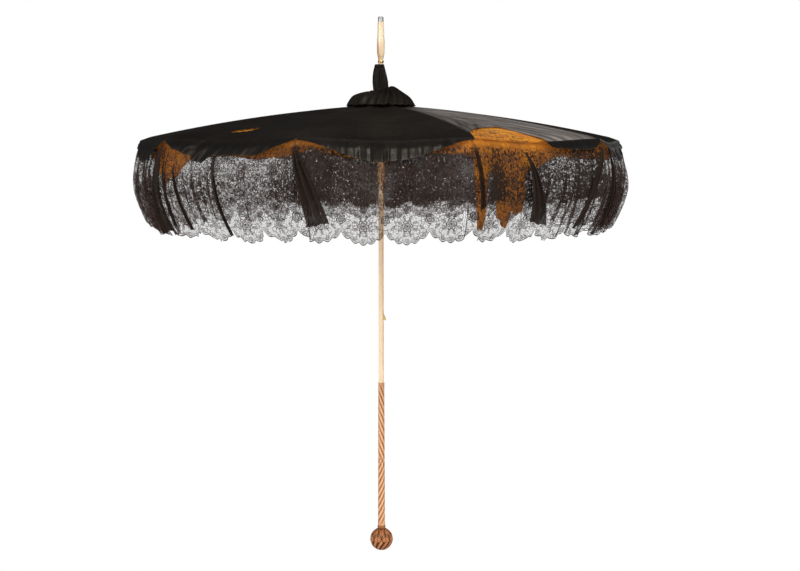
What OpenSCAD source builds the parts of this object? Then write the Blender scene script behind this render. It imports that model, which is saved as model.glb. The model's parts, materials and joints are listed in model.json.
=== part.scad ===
// Lace parasol: ten-rib folding frame on a wooden stick, satin cover with a silk
// lining, and a deep lace flounce hung from the rib tips. Millimetres, +Z up.
// The origin is under the ball knob, on the stick's axis. The parasol is open.

/* [Stick] */
// Radius of the wooden stick
stick_r = 4.1; // [3.8:0.1:4.5]
// Height of the handle's top, where the bare stick starts
handle_top = 284; // [250:1:300]
// Height of the handle's bottom
handle_bottom = 40; // [38:1:44]
// Radius of the handle at its top
handle_r_top = 5.0; // [4.6:0.1:5.4]
// Radius of the handle at its bottom
handle_r_bottom = 5.8; // [5.4:0.1:6.4]
// Radius of the ball knob
knob_r = 19.2; // [17:0.1:21]

/* [Ferrule] */
// Height where the ferrule starts
ferrule_z = 804; // [800:1:808]
// Height of the ferrule's upper end, under the cap
ferrule_top = 871; // [866:1:876]
// Height of the very top of the metal cap
cap_top = 879; // [876:1:884]
// Radius of the metal end cap
cap_r = 4.5; // [4:0.1:5]
// Greatest radius of the ferrule
ferrule_r = 6.2; // [5.6:0.1:6.8]

/* [Frame] */
// Number of ribs, each with its own names in NODES
ribs = 10; // [10:1:10]
// Radius of the hinge circle of the ribs in the notch
notch_hinge_r = 7.5; // [7.3:0.1:7.8]
// Height of the rib hinges
notch_hinge_z = 733.5; // [733:0.1:734]
// Radius of the hinge circle of the stretchers on the runner
runner_hinge_r = 8.5; // [8.4:0.1:8.7]
// Height of the runner's hinge circle when open
runner_z = 650; // [646:1:652]
// Distance from the axis to the stretcher's rivet in the rib
rivet_r = 170; // [165:1:175]
// Depth of the rivet under the rib's lower edge
rivet_drop = 2.8; // [2.6:0.1:3.2]
// Width of a rib across
rib_w = 2.0; // [1.8:0.1:2.2]
// Depth of a rib
rib_d = 2.4; // [2.0:0.1:2.6]
// Distance from the axis to the end of the rib's wire
rib_end = 381; // [378:1:382]

/* [Cover] */
// Height of the cover's surface on the axis
cover_top = 738.5; // [738:0.1:739]
// Slope of the cover at the crown
cover_slope = 0.055; // [0.05:0.005:0.06]
// How fast the cover curves down, per mm
cover_curve = 0.000225; // [0.0002:0.000005:0.00024]
// Thickness of the satin solid
satin_t = 1.0; // [0.8:0.1:1.1]
// Thickness of the lining solid
lining_t = 0.9; // [0.7:0.1:0.9]
// Radius of the satin's outer edge
cover_r = 386.5; // [384:0.5:388]
// Half the gap between neighbouring sectors
half_gap = 0.2; // [0.15:0.05:0.3]

/* [Flounce] */
// Height of the lace's lower edge
lace_bottom = 540; // [530:1:560]
// Greatest radius of the lace's bulge
lace_r = 400; // [396:1:404]
// Radius of the lace's lower edge
lace_bottom_r = 370; // [362:1:380]
// Height of the satin frill's lower edge
frill_bottom = 653; // [645:1:660]

/* [Springs] */
// Width of a latch spring
spring_w = 1.5; // [1.3:0.1:1.6]
// Radius that a spring's nib reaches
nib_r = 8.0; // [7.6:0.1:8.1]
// Azimuth of both latch springs, half way between two ribs
spring_az = -18; // [-18:1:-18]

/* [Hidden] */
pitch = 360 / ribs;
tenon_r = 3.0;
tenon_z = 834;
handle_tenon_r = 2.5;
stop_z = 656.4;
runner_low = 612;
runner_high = 654.2;
rib_gap = 2.6;            // cover surface down to a rib's upper edge
tube_r = 6.0;
lug_r = 1.9;
hinge_hole_r = 0.62;
wire_r = 0.55;
rivet_z = surf(rivet_r) - rib_gap - rib_d - rivet_drop;
arm = sqrt(pow(rivet_r - runner_hinge_r, 2) + pow(rivet_z - runner_z, 2));
arm_angle = atan2(rivet_z - runner_z, rivet_r - runner_hinge_r);

// Height of the cover's upper surface at a distance r from the axis
function surf(r) = cover_top - cover_slope * r - cover_curve * r * r;
// Slope angle of that surface
function surf_angle(r) = -atan(cover_slope + 2 * cover_curve * r);
// Azimuth of rib k, counted from 1: rib 1 points along +X
function rib_az(k) = pitch * (k - 1);
// Offsets a profile by t along the r axis, for a hanging shell
function shifted(p, t) = [for (q = p) [q[0] + t, q[1]]];
function reversed(p) = [for (i = [len(p) - 1 : -1 : 0]) p[i]];

// Puts a shape drawn in the (r, z) plane upright at azimuth az, w thick
module upright(az, w) {
    rotate([0, 0, az]) rotate([90, 0, 0]) translate([0, 0, -w / 2]) linear_extrude(w) children();
}

// A wedge between two seams, half_gap inside each of them
module wedge(az, z0, z1) {
    shift = half_gap / sin(pitch / 2);
    reach = 460;
    rotate([0, 0, az]) translate([shift, 0, z0]) linear_extrude(z1 - z0)
        polygon([[0, 0], [reach, -reach * tan(pitch / 2)], [reach, reach * tan(pitch / 2)]]);
}

// One sector of a surface of revolution between two seams
module sector(az, profile, z0, z1) {
    intersection() {
        rotate([0, 0, az - pitch / 2 - 1]) rotate_extrude(angle = pitch + 2, $fn = 240) polygon(profile);
        wedge(az, z0, z1);
    }
}

module stick() {
    color("BurlyWood") difference() {
        union() {
            translate([0, 0, handle_top]) cylinder(r = stick_r, h = ferrule_z - handle_top, $fn = 64);
            translate([0, 0, ferrule_z - 1]) cylinder(r = tenon_r, h = tenon_z - ferrule_z + 1, $fn = 48);
            translate([0, 0, handle_top - 26]) cylinder(r = tenon_r, h = 27, $fn = 48);
        }
        spring_slot(560, 612.6);
        spring_slot(352, 404);
        rotate([0, 0, spring_az]) translate([0, 0, stop_z]) rotate([90, 0, 0])
            cylinder(r = 0.82, h = 20, center = true, $fn = 32);
    }
}

module spring_slot(z0, z1) {
    rotate([0, 0, spring_az]) translate([-3.2, -(spring_w + 0.6) / 2, z0]) cube([9, spring_w + 0.6, z1 - z0]);
}

module handle() {
    color("Peru") rotate_extrude($fn = 64) polygon([
        [handle_tenon_r - 0.02, handle_bottom - 18], [0, handle_bottom - 18], [0, handle_top - 27],
        [tenon_r + 0.05, handle_top - 27], [tenon_r + 0.05, handle_top],
        [handle_r_top - 0.5, handle_top], [handle_r_top, handle_top - 1.5],
        [handle_r_bottom, handle_bottom + 3], [handle_r_bottom, handle_bottom + 2.6],
        [handle_tenon_r - 0.02, handle_bottom + 2.6]]);
}

module knob_collar() {
    color("SaddleBrown") rotate_extrude($fn = 64) polygon([
        [handle_tenon_r + 0.05, handle_bottom], [handle_r_bottom + 0.6, handle_bottom],
        [handle_r_bottom + 1.1, handle_bottom + 1.2], [handle_r_bottom + 0.5, handle_bottom + 2.5],
        [handle_tenon_r + 0.05, handle_bottom + 2.5]]);
}

module knob() {
    color("SaddleBrown") difference() {
        union() {
            translate([0, 0, knob_r]) sphere(r = knob_r, $fn = 96);
            translate([0, 0, 33]) cylinder(r = 6.6, h = handle_bottom - 33.05, $fn = 64);
        }
        translate([0, 0, handle_bottom - 18.1]) cylinder(r = handle_tenon_r + 0.05, h = 30, $fn = 48);
    }
}

module ferrule() {
    color("Wheat") rotate_extrude($fn = 64) polygon([
        [tenon_r + 0.05, ferrule_z + 0.05], [3.9, ferrule_z + 0.05], [4.1, ferrule_z + 8], [5.6, ferrule_z + 15],
        [ferrule_r, ferrule_z + 24], [ferrule_r, ferrule_z + 38], [5.6, ferrule_top - 18],
        [5.1, ferrule_top - 8], [5.0, ferrule_top], [0, ferrule_top], [0, tenon_z + 1], [tenon_r + 0.05, tenon_z + 1]]);
}

module ferrule_cap() {
    color("Silver") rotate_extrude($fn = 64) polygon([
        [0, ferrule_top + 0.02], [cap_r, ferrule_top + 0.02], [cap_r, cap_top - 0.8], [cap_r - 0.8, cap_top], [0, cap_top]]);
}

module ferrule_ring() {
    color("Goldenrod") rotate_extrude($fn = 64) polygon([
        [4.2, ferrule_z + 2], [4.7, ferrule_z + 2], [5.0, ferrule_z + 3.8], [4.7, ferrule_z + 5.6], [4.2, ferrule_z + 5.6]]);
}

module neck_sleeve() {
    color("DimGray") rotate_extrude($fn = 96) polygon([
        [stick_r + 0.1, 740], [10.8, 740], [11, 750], [12.4, 762], [13, 773], [11.6, 783],
        [9.4, 795], [8.2, ferrule_z - 0.4], [stick_r + 0.1, ferrule_z - 0.4]]);
}

module rosette() {
    color("DimGray") rotate_extrude($fn = 96) polygon([
        [13.6, surf(13.6) + 0.5], [34, surf(34) + 0.6], [54, surf(54) + 0.6], [56, surf(54) + 3.5], [53, surf(54) + 11],
        [46, surf(54) + 16], [36, surf(54) + 24], [26, surf(54) + 31], [13.6, surf(54) + 31]]);
}

module top_notch() {
    color("DarkGoldenrod") difference() {
        rotate_extrude($fn = 96) polygon([
            [stick_r + 0.02, notch_hinge_z - 7], [6.0, notch_hinge_z - 7], [6.4, notch_hinge_z - 3.8],
            [9.3, notch_hinge_z - 3.2], [9.3, notch_hinge_z + 3.2], [stick_r + 0.02, notch_hinge_z + 3.2]]);
        for (k = [1 : ribs]) rotate([0, 0, rib_az(k)])
            translate([5.4, -(rib_w + 0.3) / 2, notch_hinge_z - 8]) cube([6, rib_w + 0.3, 16]);
        // the groove that the wire lies in
        translate([0, 0, notch_hinge_z - 0.7]) difference() {
            cylinder(r = 12, h = 1.4, $fn = 96);
            translate([0, 0, -1]) cylinder(r = 6.8, h = 4, $fn = 96);
        }
    }
}

// A ring of straight lengths of wire, square to each rib
module wire_ring(r, z, wr) {
    side = 2 * (r) * tan(pitch / 2) + wr * 0.6;
    for (k = [1 : ribs]) rotate([0, 0, rib_az(k)]) translate([r, 0, z])
        rotate([90, 0, 0]) cylinder(r = wr, h = side, center = true, $fn = 24);
}

module notch_wire() {
    color("Silver") wire_ring(notch_hinge_r, notch_hinge_z, wire_r);
}

module stop_pin() {
    color("Silver") rotate([0, 0, spring_az]) translate([0, 0, stop_z]) rotate([90, 0, 0])
        cylinder(r = 0.8, h = 12.4, center = true, $fn = 32);
}

module runner() {
    color("Silver") difference() {
        rotate_extrude($fn = 96) polygon([
            [stick_r + 0.08, runner_low], [6.5, runner_low], [6.8, runner_low + 0.8], [6.5, runner_low + 1.8],
            [tube_r, runner_low + 2.2], [tube_r, runner_z - 6], [6.6, runner_z - 4.4], [10.3, runner_z - 3.4],
            [10.3, runner_z + 2.6], [6.6, runner_z + 3.4], [6.4, runner_high], [stick_r + 0.08, runner_high]]);
        for (k = [1 : ribs]) rotate([0, 0, rib_az(k)])
            translate([6.7, -0.9, runner_z - 7]) cube([6, 1.8, 14]);
        // inner groove that passes over the nibs of both springs
        rotate([0, 0, spring_az]) translate([0, -(spring_w + 0.6) / 2, runner_low - 1])
            cube([nib_r + 0.3, spring_w + 0.6, runner_high - runner_low + 2]);
        // the groove that the wire lies in
        translate([0, 0, runner_z - 0.6]) difference() {
            cylinder(r = 13, h = 1.2, $fn = 96);
            translate([0, 0, -1]) cylinder(r = 8.7, h = 4, $fn = 96);
        }
    }
}

// Ten short lengths of wire in the runner's cheeks, none across a slot
module runner_wire() {
    color("Silver") for (k = [1 : ribs]) rotate([0, 0, rib_az(k) + pitch / 2])
        translate([9.3, 0, runner_z]) rotate([90, 0, 0]) cylinder(r = 0.5, h = 2.6, center = true, $fn = 24);
}

module leaf_spring(points) {
    color("SlateGray") upright(spring_az, spring_w) polygon(points);
}

module top_spring() {
    leaf_spring([[2.2, 563], [3.0, 563], [3.0, 596], [nib_r, 608.6], [nib_r, 611.2], [2.2, 611.2]]);
}

module bottom_spring() {
    leaf_spring([[2.2, 357], [3.0, 357], [3.0, 388], [nib_r, 388], [nib_r, 389.6], [3.4, 401], [2.2, 401]]);
}

module rib(k) {
    az = rib_az(k);
    first = 8.6;
    steps = 30;
    upper = [for (i = [0 : steps]) let(r = first + (rib_end - first) * i / steps) [r, surf(r) - rib_gap]];
    lower = [for (i = [0 : steps]) let(r = first + (rib_end - first) * i / steps) [r, surf(r) - rib_gap - rib_d]];
    color("DarkSlateGray") upright(az, rib_w) difference() {
        union() {
            polygon(concat(upper, reversed(lower)));
            translate([notch_hinge_r, notch_hinge_z]) circle(r = 1.55, $fn = 40);
            translate([rivet_r, rivet_z]) circle(r = lug_r, $fn = 40);
            translate([rivet_r - lug_r, rivet_z]) square([2 * lug_r, rivet_drop + 0.6]);
        }
        translate([notch_hinge_r, notch_hinge_z]) circle(r = hinge_hole_r, $fn = 32);
        translate([rivet_r, rivet_z]) circle(r = hinge_hole_r, $fn = 32);
    }
    // the separate tip, a sleeve with a ball
    mid = rib_end - 3.5;
    color("Goldenrod") rotate([0, 0, az]) translate([mid, 0, surf(mid) - rib_gap - rib_d / 2])
        rotate([0, -surf_angle(mid), 0]) difference() {
            union() {
                translate([-4, 0, 0]) rotate([0, 90, 0]) cylinder(r = 2.1, h = 8.5, $fn = 40);
                translate([5, 0, 0]) sphere(r = 2.3, $fn = 40);
            }
            translate([-5, -(rib_w + 0.16) / 2, -(rib_d + 0.16) / 2]) cube([5 + 3.9, rib_w + 0.16, rib_d + 0.16]);
        }
}

module stretcher(k) {
    az = rib_az(k);
    fork_w = rib_w + 0.6;
    cheek = 0.8;
    shank_w = 1.4;
    color("DarkSlateGray") rotate([0, 0, az]) translate([runner_hinge_r, 0, runner_z]) rotate([0, -arm_angle, 0]) {
        // the shank with its eye at the runner
        rotate([90, 0, 0]) translate([0, 0, -shank_w / 2]) linear_extrude(shank_w) difference() {
            union() {
                circle(r = 1.5, $fn = 32);
                translate([0, -1.0]) square([arm - 11, 2.0]);
            }
            circle(r = hinge_hole_r, $fn = 32);
        }
        // the fork's web and its two cheeks
        translate([arm - 13, -fork_w / 2 - cheek, -1.3]) cube([4, fork_w + 2 * cheek, 2.6]);
        for (s = [-1, 1]) translate([0, s * (fork_w + cheek) / 2, 0]) rotate([90, 0, 0])
            translate([0, 0, -cheek / 2]) linear_extrude(cheek) union() {
                translate([arm, 0]) circle(r = lug_r, $fn = 40);
                translate([arm - 10, -1.3]) square([10, 2.6]);
            }
        // the rivet through the lug, with a head on each side
        translate([arm, 0, 0]) rotate([90, 0, 0]) cylinder(r = wire_r, h = fork_w + 2 * cheek, center = true, $fn = 32);
        for (s = [-1, 1]) translate([arm, s * (fork_w / 2 + cheek + 0.2), 0]) rotate([90, 0, 0])
            cylinder(r = 1.1, h = 0.6, center = true, $fn = 32);
    }
}

module cover(k) {
    radii = [for (r = [5.6, 14, 60, 110, 160, 210, 260, 310, 350, cover_r]) r];
    top = [for (r = radii) [r, surf(r)]];
    under = [for (r = radii) [r, surf(r) - satin_t]];
    color("DimGray") sector(rib_az(k), concat(top, reversed(under)), 600, 760);
    inner = [for (r = [12, 60, 110, 160, 210, 260, 310, 350, 370]) r];
    lining_top = [for (r = inner) [r, surf(r) - satin_t - 0.35]];
    lining_under = [for (r = inner) [r, surf(r) - satin_t - 0.35 - lining_t]];
    color("Orange") sector(rib_az(k), concat(lining_top, reversed(lining_under)), 600, 760);
}

module flounce(k) {
    top = surf(cover_r) - 1;
    line = [[387, top], [393, 661], [398, 634], [lace_r - 1, 606], [395, 577], [384, 556], [lace_bottom_r, lace_bottom]];
    color("DarkSlateGray") sector(rib_az(k), concat(shifted(line, 1.0), reversed(line)), 500, 760);
    frill = [[388.4, top], [395.4, 661], [397.2, frill_bottom]];
    color("DimGray") sector(rib_az(k), concat(shifted(frill, 1.0), reversed(frill)), 500, 760);
}

stick();
handle();
knob();
knob_collar();
ferrule();
ferrule_cap();
ferrule_ring();
neck_sleeve();
rosette();
top_notch();
notch_wire();
stop_pin();
runner();
runner_wire();
top_spring();
bottom_spring();
rib(1);  // rib_1
rib(2);  // rib_2
rib(3);  // rib_3
rib(4);  // rib_4
rib(5);  // rib_5
rib(6);  // rib_6
rib(7);  // rib_7
rib(8);  // rib_8
rib(9);  // rib_9
rib(10);  // rib_10
stretcher(1);  // stretcher_1
stretcher(2);  // stretcher_2
stretcher(3);  // stretcher_3
stretcher(4);  // stretcher_4
stretcher(5);  // stretcher_5
stretcher(6);  // stretcher_6
stretcher(7);  // stretcher_7
stretcher(8);  // stretcher_8
stretcher(9);  // stretcher_9
stretcher(10);  // stretcher_10
cover(1);  // cover_1
cover(2);  // cover_2
cover(3);  // cover_3
cover(4);  // cover_4
cover(5);  // cover_5
cover(6);  // cover_6
cover(7);  // cover_7
cover(8);  // cover_8
cover(9);  // cover_9
cover(10);  // cover_10
flounce(1);  // flounce_1
flounce(2);  // flounce_2
flounce(3);  // flounce_3
flounce(4);  // flounce_4
flounce(5);  // flounce_5
flounce(6);  // flounce_6
flounce(7);  // flounce_7
flounce(8);  // flounce_8
flounce(9);  // flounce_9
flounce(10);  // flounce_10
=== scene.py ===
import bpy, math
import numpy as np
from mathutils import Vector
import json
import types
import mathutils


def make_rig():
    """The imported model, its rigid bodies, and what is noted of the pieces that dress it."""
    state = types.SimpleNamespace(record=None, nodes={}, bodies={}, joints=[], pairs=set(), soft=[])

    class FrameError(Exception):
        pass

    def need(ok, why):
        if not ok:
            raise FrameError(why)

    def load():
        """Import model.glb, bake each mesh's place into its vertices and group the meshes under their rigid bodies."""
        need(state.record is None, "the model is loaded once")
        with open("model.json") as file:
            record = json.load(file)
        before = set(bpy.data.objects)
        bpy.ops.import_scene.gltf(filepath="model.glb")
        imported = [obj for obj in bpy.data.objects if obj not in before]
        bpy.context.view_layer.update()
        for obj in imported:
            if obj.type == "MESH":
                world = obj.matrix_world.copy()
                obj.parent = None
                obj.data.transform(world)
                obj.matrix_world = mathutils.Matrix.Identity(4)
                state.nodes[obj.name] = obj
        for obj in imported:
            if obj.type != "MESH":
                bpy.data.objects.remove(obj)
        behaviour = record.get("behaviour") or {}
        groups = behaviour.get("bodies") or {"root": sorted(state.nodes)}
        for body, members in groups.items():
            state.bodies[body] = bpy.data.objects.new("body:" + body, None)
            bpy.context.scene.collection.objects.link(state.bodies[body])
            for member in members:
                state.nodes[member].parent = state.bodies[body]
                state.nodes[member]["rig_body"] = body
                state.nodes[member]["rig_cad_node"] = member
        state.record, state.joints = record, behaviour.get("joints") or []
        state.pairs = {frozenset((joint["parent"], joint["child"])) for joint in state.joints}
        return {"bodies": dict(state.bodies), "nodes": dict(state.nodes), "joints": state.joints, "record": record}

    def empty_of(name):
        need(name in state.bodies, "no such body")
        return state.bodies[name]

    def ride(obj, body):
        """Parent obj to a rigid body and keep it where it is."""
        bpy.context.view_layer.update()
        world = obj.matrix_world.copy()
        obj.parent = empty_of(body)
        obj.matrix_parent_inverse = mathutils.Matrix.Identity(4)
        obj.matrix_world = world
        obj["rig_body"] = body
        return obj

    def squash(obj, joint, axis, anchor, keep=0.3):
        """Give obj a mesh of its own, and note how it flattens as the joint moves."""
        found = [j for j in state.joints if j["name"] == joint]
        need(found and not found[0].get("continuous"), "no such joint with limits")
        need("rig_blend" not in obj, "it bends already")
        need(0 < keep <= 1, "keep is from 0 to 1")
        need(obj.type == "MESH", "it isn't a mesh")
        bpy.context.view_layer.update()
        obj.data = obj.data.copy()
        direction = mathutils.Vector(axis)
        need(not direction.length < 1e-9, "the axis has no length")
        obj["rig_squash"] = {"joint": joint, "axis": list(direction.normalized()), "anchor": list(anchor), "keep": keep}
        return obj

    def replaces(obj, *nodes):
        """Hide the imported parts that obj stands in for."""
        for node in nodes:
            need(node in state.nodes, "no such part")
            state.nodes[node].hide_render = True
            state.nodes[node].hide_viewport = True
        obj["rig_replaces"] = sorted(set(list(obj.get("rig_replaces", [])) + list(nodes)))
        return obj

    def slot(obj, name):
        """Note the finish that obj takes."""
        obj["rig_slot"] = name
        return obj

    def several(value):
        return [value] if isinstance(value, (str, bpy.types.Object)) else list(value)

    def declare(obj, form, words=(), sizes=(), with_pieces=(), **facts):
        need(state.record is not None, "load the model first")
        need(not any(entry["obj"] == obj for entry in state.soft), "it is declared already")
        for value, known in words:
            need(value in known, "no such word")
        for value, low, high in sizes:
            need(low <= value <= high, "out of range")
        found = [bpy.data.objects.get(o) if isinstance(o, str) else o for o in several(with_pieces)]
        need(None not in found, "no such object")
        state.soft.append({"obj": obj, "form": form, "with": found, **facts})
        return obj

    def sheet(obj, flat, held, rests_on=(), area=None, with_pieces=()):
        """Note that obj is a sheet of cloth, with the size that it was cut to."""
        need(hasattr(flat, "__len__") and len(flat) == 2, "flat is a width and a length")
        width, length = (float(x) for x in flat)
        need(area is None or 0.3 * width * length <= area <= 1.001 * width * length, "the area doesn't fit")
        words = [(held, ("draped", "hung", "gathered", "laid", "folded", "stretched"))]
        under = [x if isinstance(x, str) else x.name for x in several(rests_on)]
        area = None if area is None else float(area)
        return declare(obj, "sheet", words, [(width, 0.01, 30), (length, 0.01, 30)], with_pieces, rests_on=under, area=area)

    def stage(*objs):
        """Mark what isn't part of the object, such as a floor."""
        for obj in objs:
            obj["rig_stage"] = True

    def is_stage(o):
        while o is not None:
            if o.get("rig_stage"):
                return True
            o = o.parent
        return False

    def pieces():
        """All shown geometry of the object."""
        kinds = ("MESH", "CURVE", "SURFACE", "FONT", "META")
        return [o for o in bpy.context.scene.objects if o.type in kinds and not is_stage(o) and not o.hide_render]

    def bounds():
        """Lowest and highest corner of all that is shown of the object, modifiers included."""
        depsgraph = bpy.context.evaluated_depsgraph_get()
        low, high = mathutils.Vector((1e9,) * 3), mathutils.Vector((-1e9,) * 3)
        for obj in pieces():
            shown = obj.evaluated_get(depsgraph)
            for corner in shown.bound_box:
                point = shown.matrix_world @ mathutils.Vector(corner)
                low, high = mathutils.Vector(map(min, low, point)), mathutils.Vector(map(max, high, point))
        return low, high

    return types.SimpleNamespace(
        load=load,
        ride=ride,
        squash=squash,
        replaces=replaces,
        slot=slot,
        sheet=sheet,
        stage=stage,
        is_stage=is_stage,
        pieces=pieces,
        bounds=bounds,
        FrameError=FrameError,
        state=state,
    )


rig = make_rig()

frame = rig.load()
CAD_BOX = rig.bounds()

# ---------------------------------------------------------------- geometry shared with the frame
N = 10
R = 0.3865                       # rib tips' circle, where the flounce hangs
HALF = math.radians(18)
L = R * math.sin(HALF)           # half a gore's rim, from a rib tip to the middle
mm = 0.001


def S(r):
    """Height of the cover over the axis distance r, in metres."""
    q = np.asarray(r, float) * 1000
    return (738.5 - 0.055 * q - 0.000225 * q * q) * mm


def smooth(x, a=0.0, b=1.0):
    t = np.clip((np.asarray(x, float) - a) / (b - a), 0, 1)
    return t * t * (3 - 2 * t)


def noise1(x, seed):
    """A smooth one-dimensional noise of about unit size, the same on each run."""
    rng = np.random.default_rng(seed)
    v = rng.uniform(-1, 1, 4096)
    x = np.asarray(x, float) + 1000
    i = np.floor(x).astype(int)
    f = x - i
    f = f * f * (3 - 2 * f)
    return v[i % 4096] * (1 - f) + v[(i + 1) % 4096] * f


# ---------------------------------------------------------------- mesh helpers
def quads(name, verts, faces, uv=None, attrs=None, smooth_shade=True):
    me = bpy.data.meshes.new(name)
    verts, faces = np.asarray(verts, np.float32).reshape(-1, 3), np.asarray(faces, np.int32).reshape(-1, 4)
    me.vertices.add(len(verts))
    me.vertices.foreach_set("co", verts.ravel())
    me.loops.add(len(faces) * 4)
    me.loops.foreach_set("vertex_index", faces.ravel())
    me.polygons.add(len(faces))
    me.polygons.foreach_set("loop_start", np.arange(0, len(faces) * 4, 4, dtype=np.int32))
    if uv is not None:
        layer = me.uv_layers.new(name="UVMap")
        layer.data.foreach_set("uv", np.asarray(uv, np.float32).reshape(-1, 2)[faces.ravel()].ravel())
    for key, value in (attrs or {}).items():
        a = me.attributes.new(key, "FLOAT", "POINT")
        a.data.foreach_set("value", np.asarray(value, np.float32).ravel())
    me.update(calc_edges=True)
    me.polygons.foreach_set("use_smooth", np.full(len(faces), smooth_shade))
    me.validate()
    o = bpy.data.objects.new(name, me)
    bpy.context.scene.collection.objects.link(o)
    return o


def grid_faces(nu, nv, wrap_u=False, wrap_v=False, flip=False):
    iu = np.arange(nu if wrap_u else nu - 1)
    iv = np.arange(nv if wrap_v else nv - 1)
    a, b = np.meshgrid(iu, iv, indexing="ij")
    a2, b2 = (a + 1) % nu, (b + 1) % nv
    f = np.stack([a * nv + b, a2 * nv + b, a2 * nv + b2, a * nv + b2], -1).reshape(-1, 4)
    return f[:, ::-1] if flip else f


def grid(name, P, uv=None, attrs=None, wrap_u=False, wrap_v=False, flip=False):
    nu, nv = P.shape[:2]
    return quads(name, P.reshape(-1, 3), grid_faces(nu, nv, wrap_u, wrap_v, flip), uv, attrs)


def area_of(o):
    me = o.data
    me.calc_loop_triangles()
    t = np.empty(len(me.loop_triangles) * 3, np.int32)
    me.loop_triangles.foreach_get("vertices", t)
    v = np.empty(len(me.vertices) * 3, np.float32)
    me.vertices.foreach_get("co", v)
    v, t = v.reshape(-1, 3), t.reshape(-1, 3)
    return float(np.linalg.norm(np.cross(v[t[:, 1]] - v[t[:, 0]], v[t[:, 2]] - v[t[:, 0]]), axis=1).sum() / 2)


def pchip(xs, ys, x):
    """Monotone cubic through the points, for turned profiles."""
    xs, ys, x = (np.asarray(v, float) for v in (xs, ys, x))
    h, d = np.diff(xs), np.diff(ys) / np.diff(xs)
    m = np.zeros(len(xs))
    for i in range(1, len(xs) - 1):
        m[i] = 0 if d[i - 1] * d[i] <= 0 else 2 * d[i - 1] * d[i] / (d[i - 1] + d[i])
    m[0], m[-1] = d[0], d[-1]
    i = np.clip(np.searchsorted(xs, x) - 1, 0, len(h) - 1)
    t = (x - xs[i]) / h[i]
    return ((1 + 2 * t) * (1 - t) ** 2 * ys[i] + t * (1 - t) ** 2 * h[i] * m[i]
            + t * t * (3 - 2 * t) * ys[i + 1] + t * t * (t - 1) * h[i] * m[i + 1])


def lathe(name, profile, nseg=96, shape=None, attrs=None, uv_scale=1.0):
    """profile is (z, r) pairs along the axis in metres. shape(theta, z, r) returns the new r."""
    prof = np.asarray(profile, float)
    th = np.linspace(0, 2 * np.pi, nseg, endpoint=False)
    Z, T = prof[:, 0][:, None] + 0 * th[None], th[None] + 0 * prof[:, 0][:, None]
    Rr = prof[:, 1][:, None] + 0 * th[None]
    extra = {}
    if shape is not None:
        out = shape(T, Z, Rr)
        Rr, extra = out if isinstance(out, tuple) else (out, {})
    P = np.stack([Rr * np.cos(T), Rr * np.sin(T), Z], -1)
    return grid(name, P, wrap_v=True, attrs=extra, flip=prof[-1, 0] < prof[0, 0])


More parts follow.
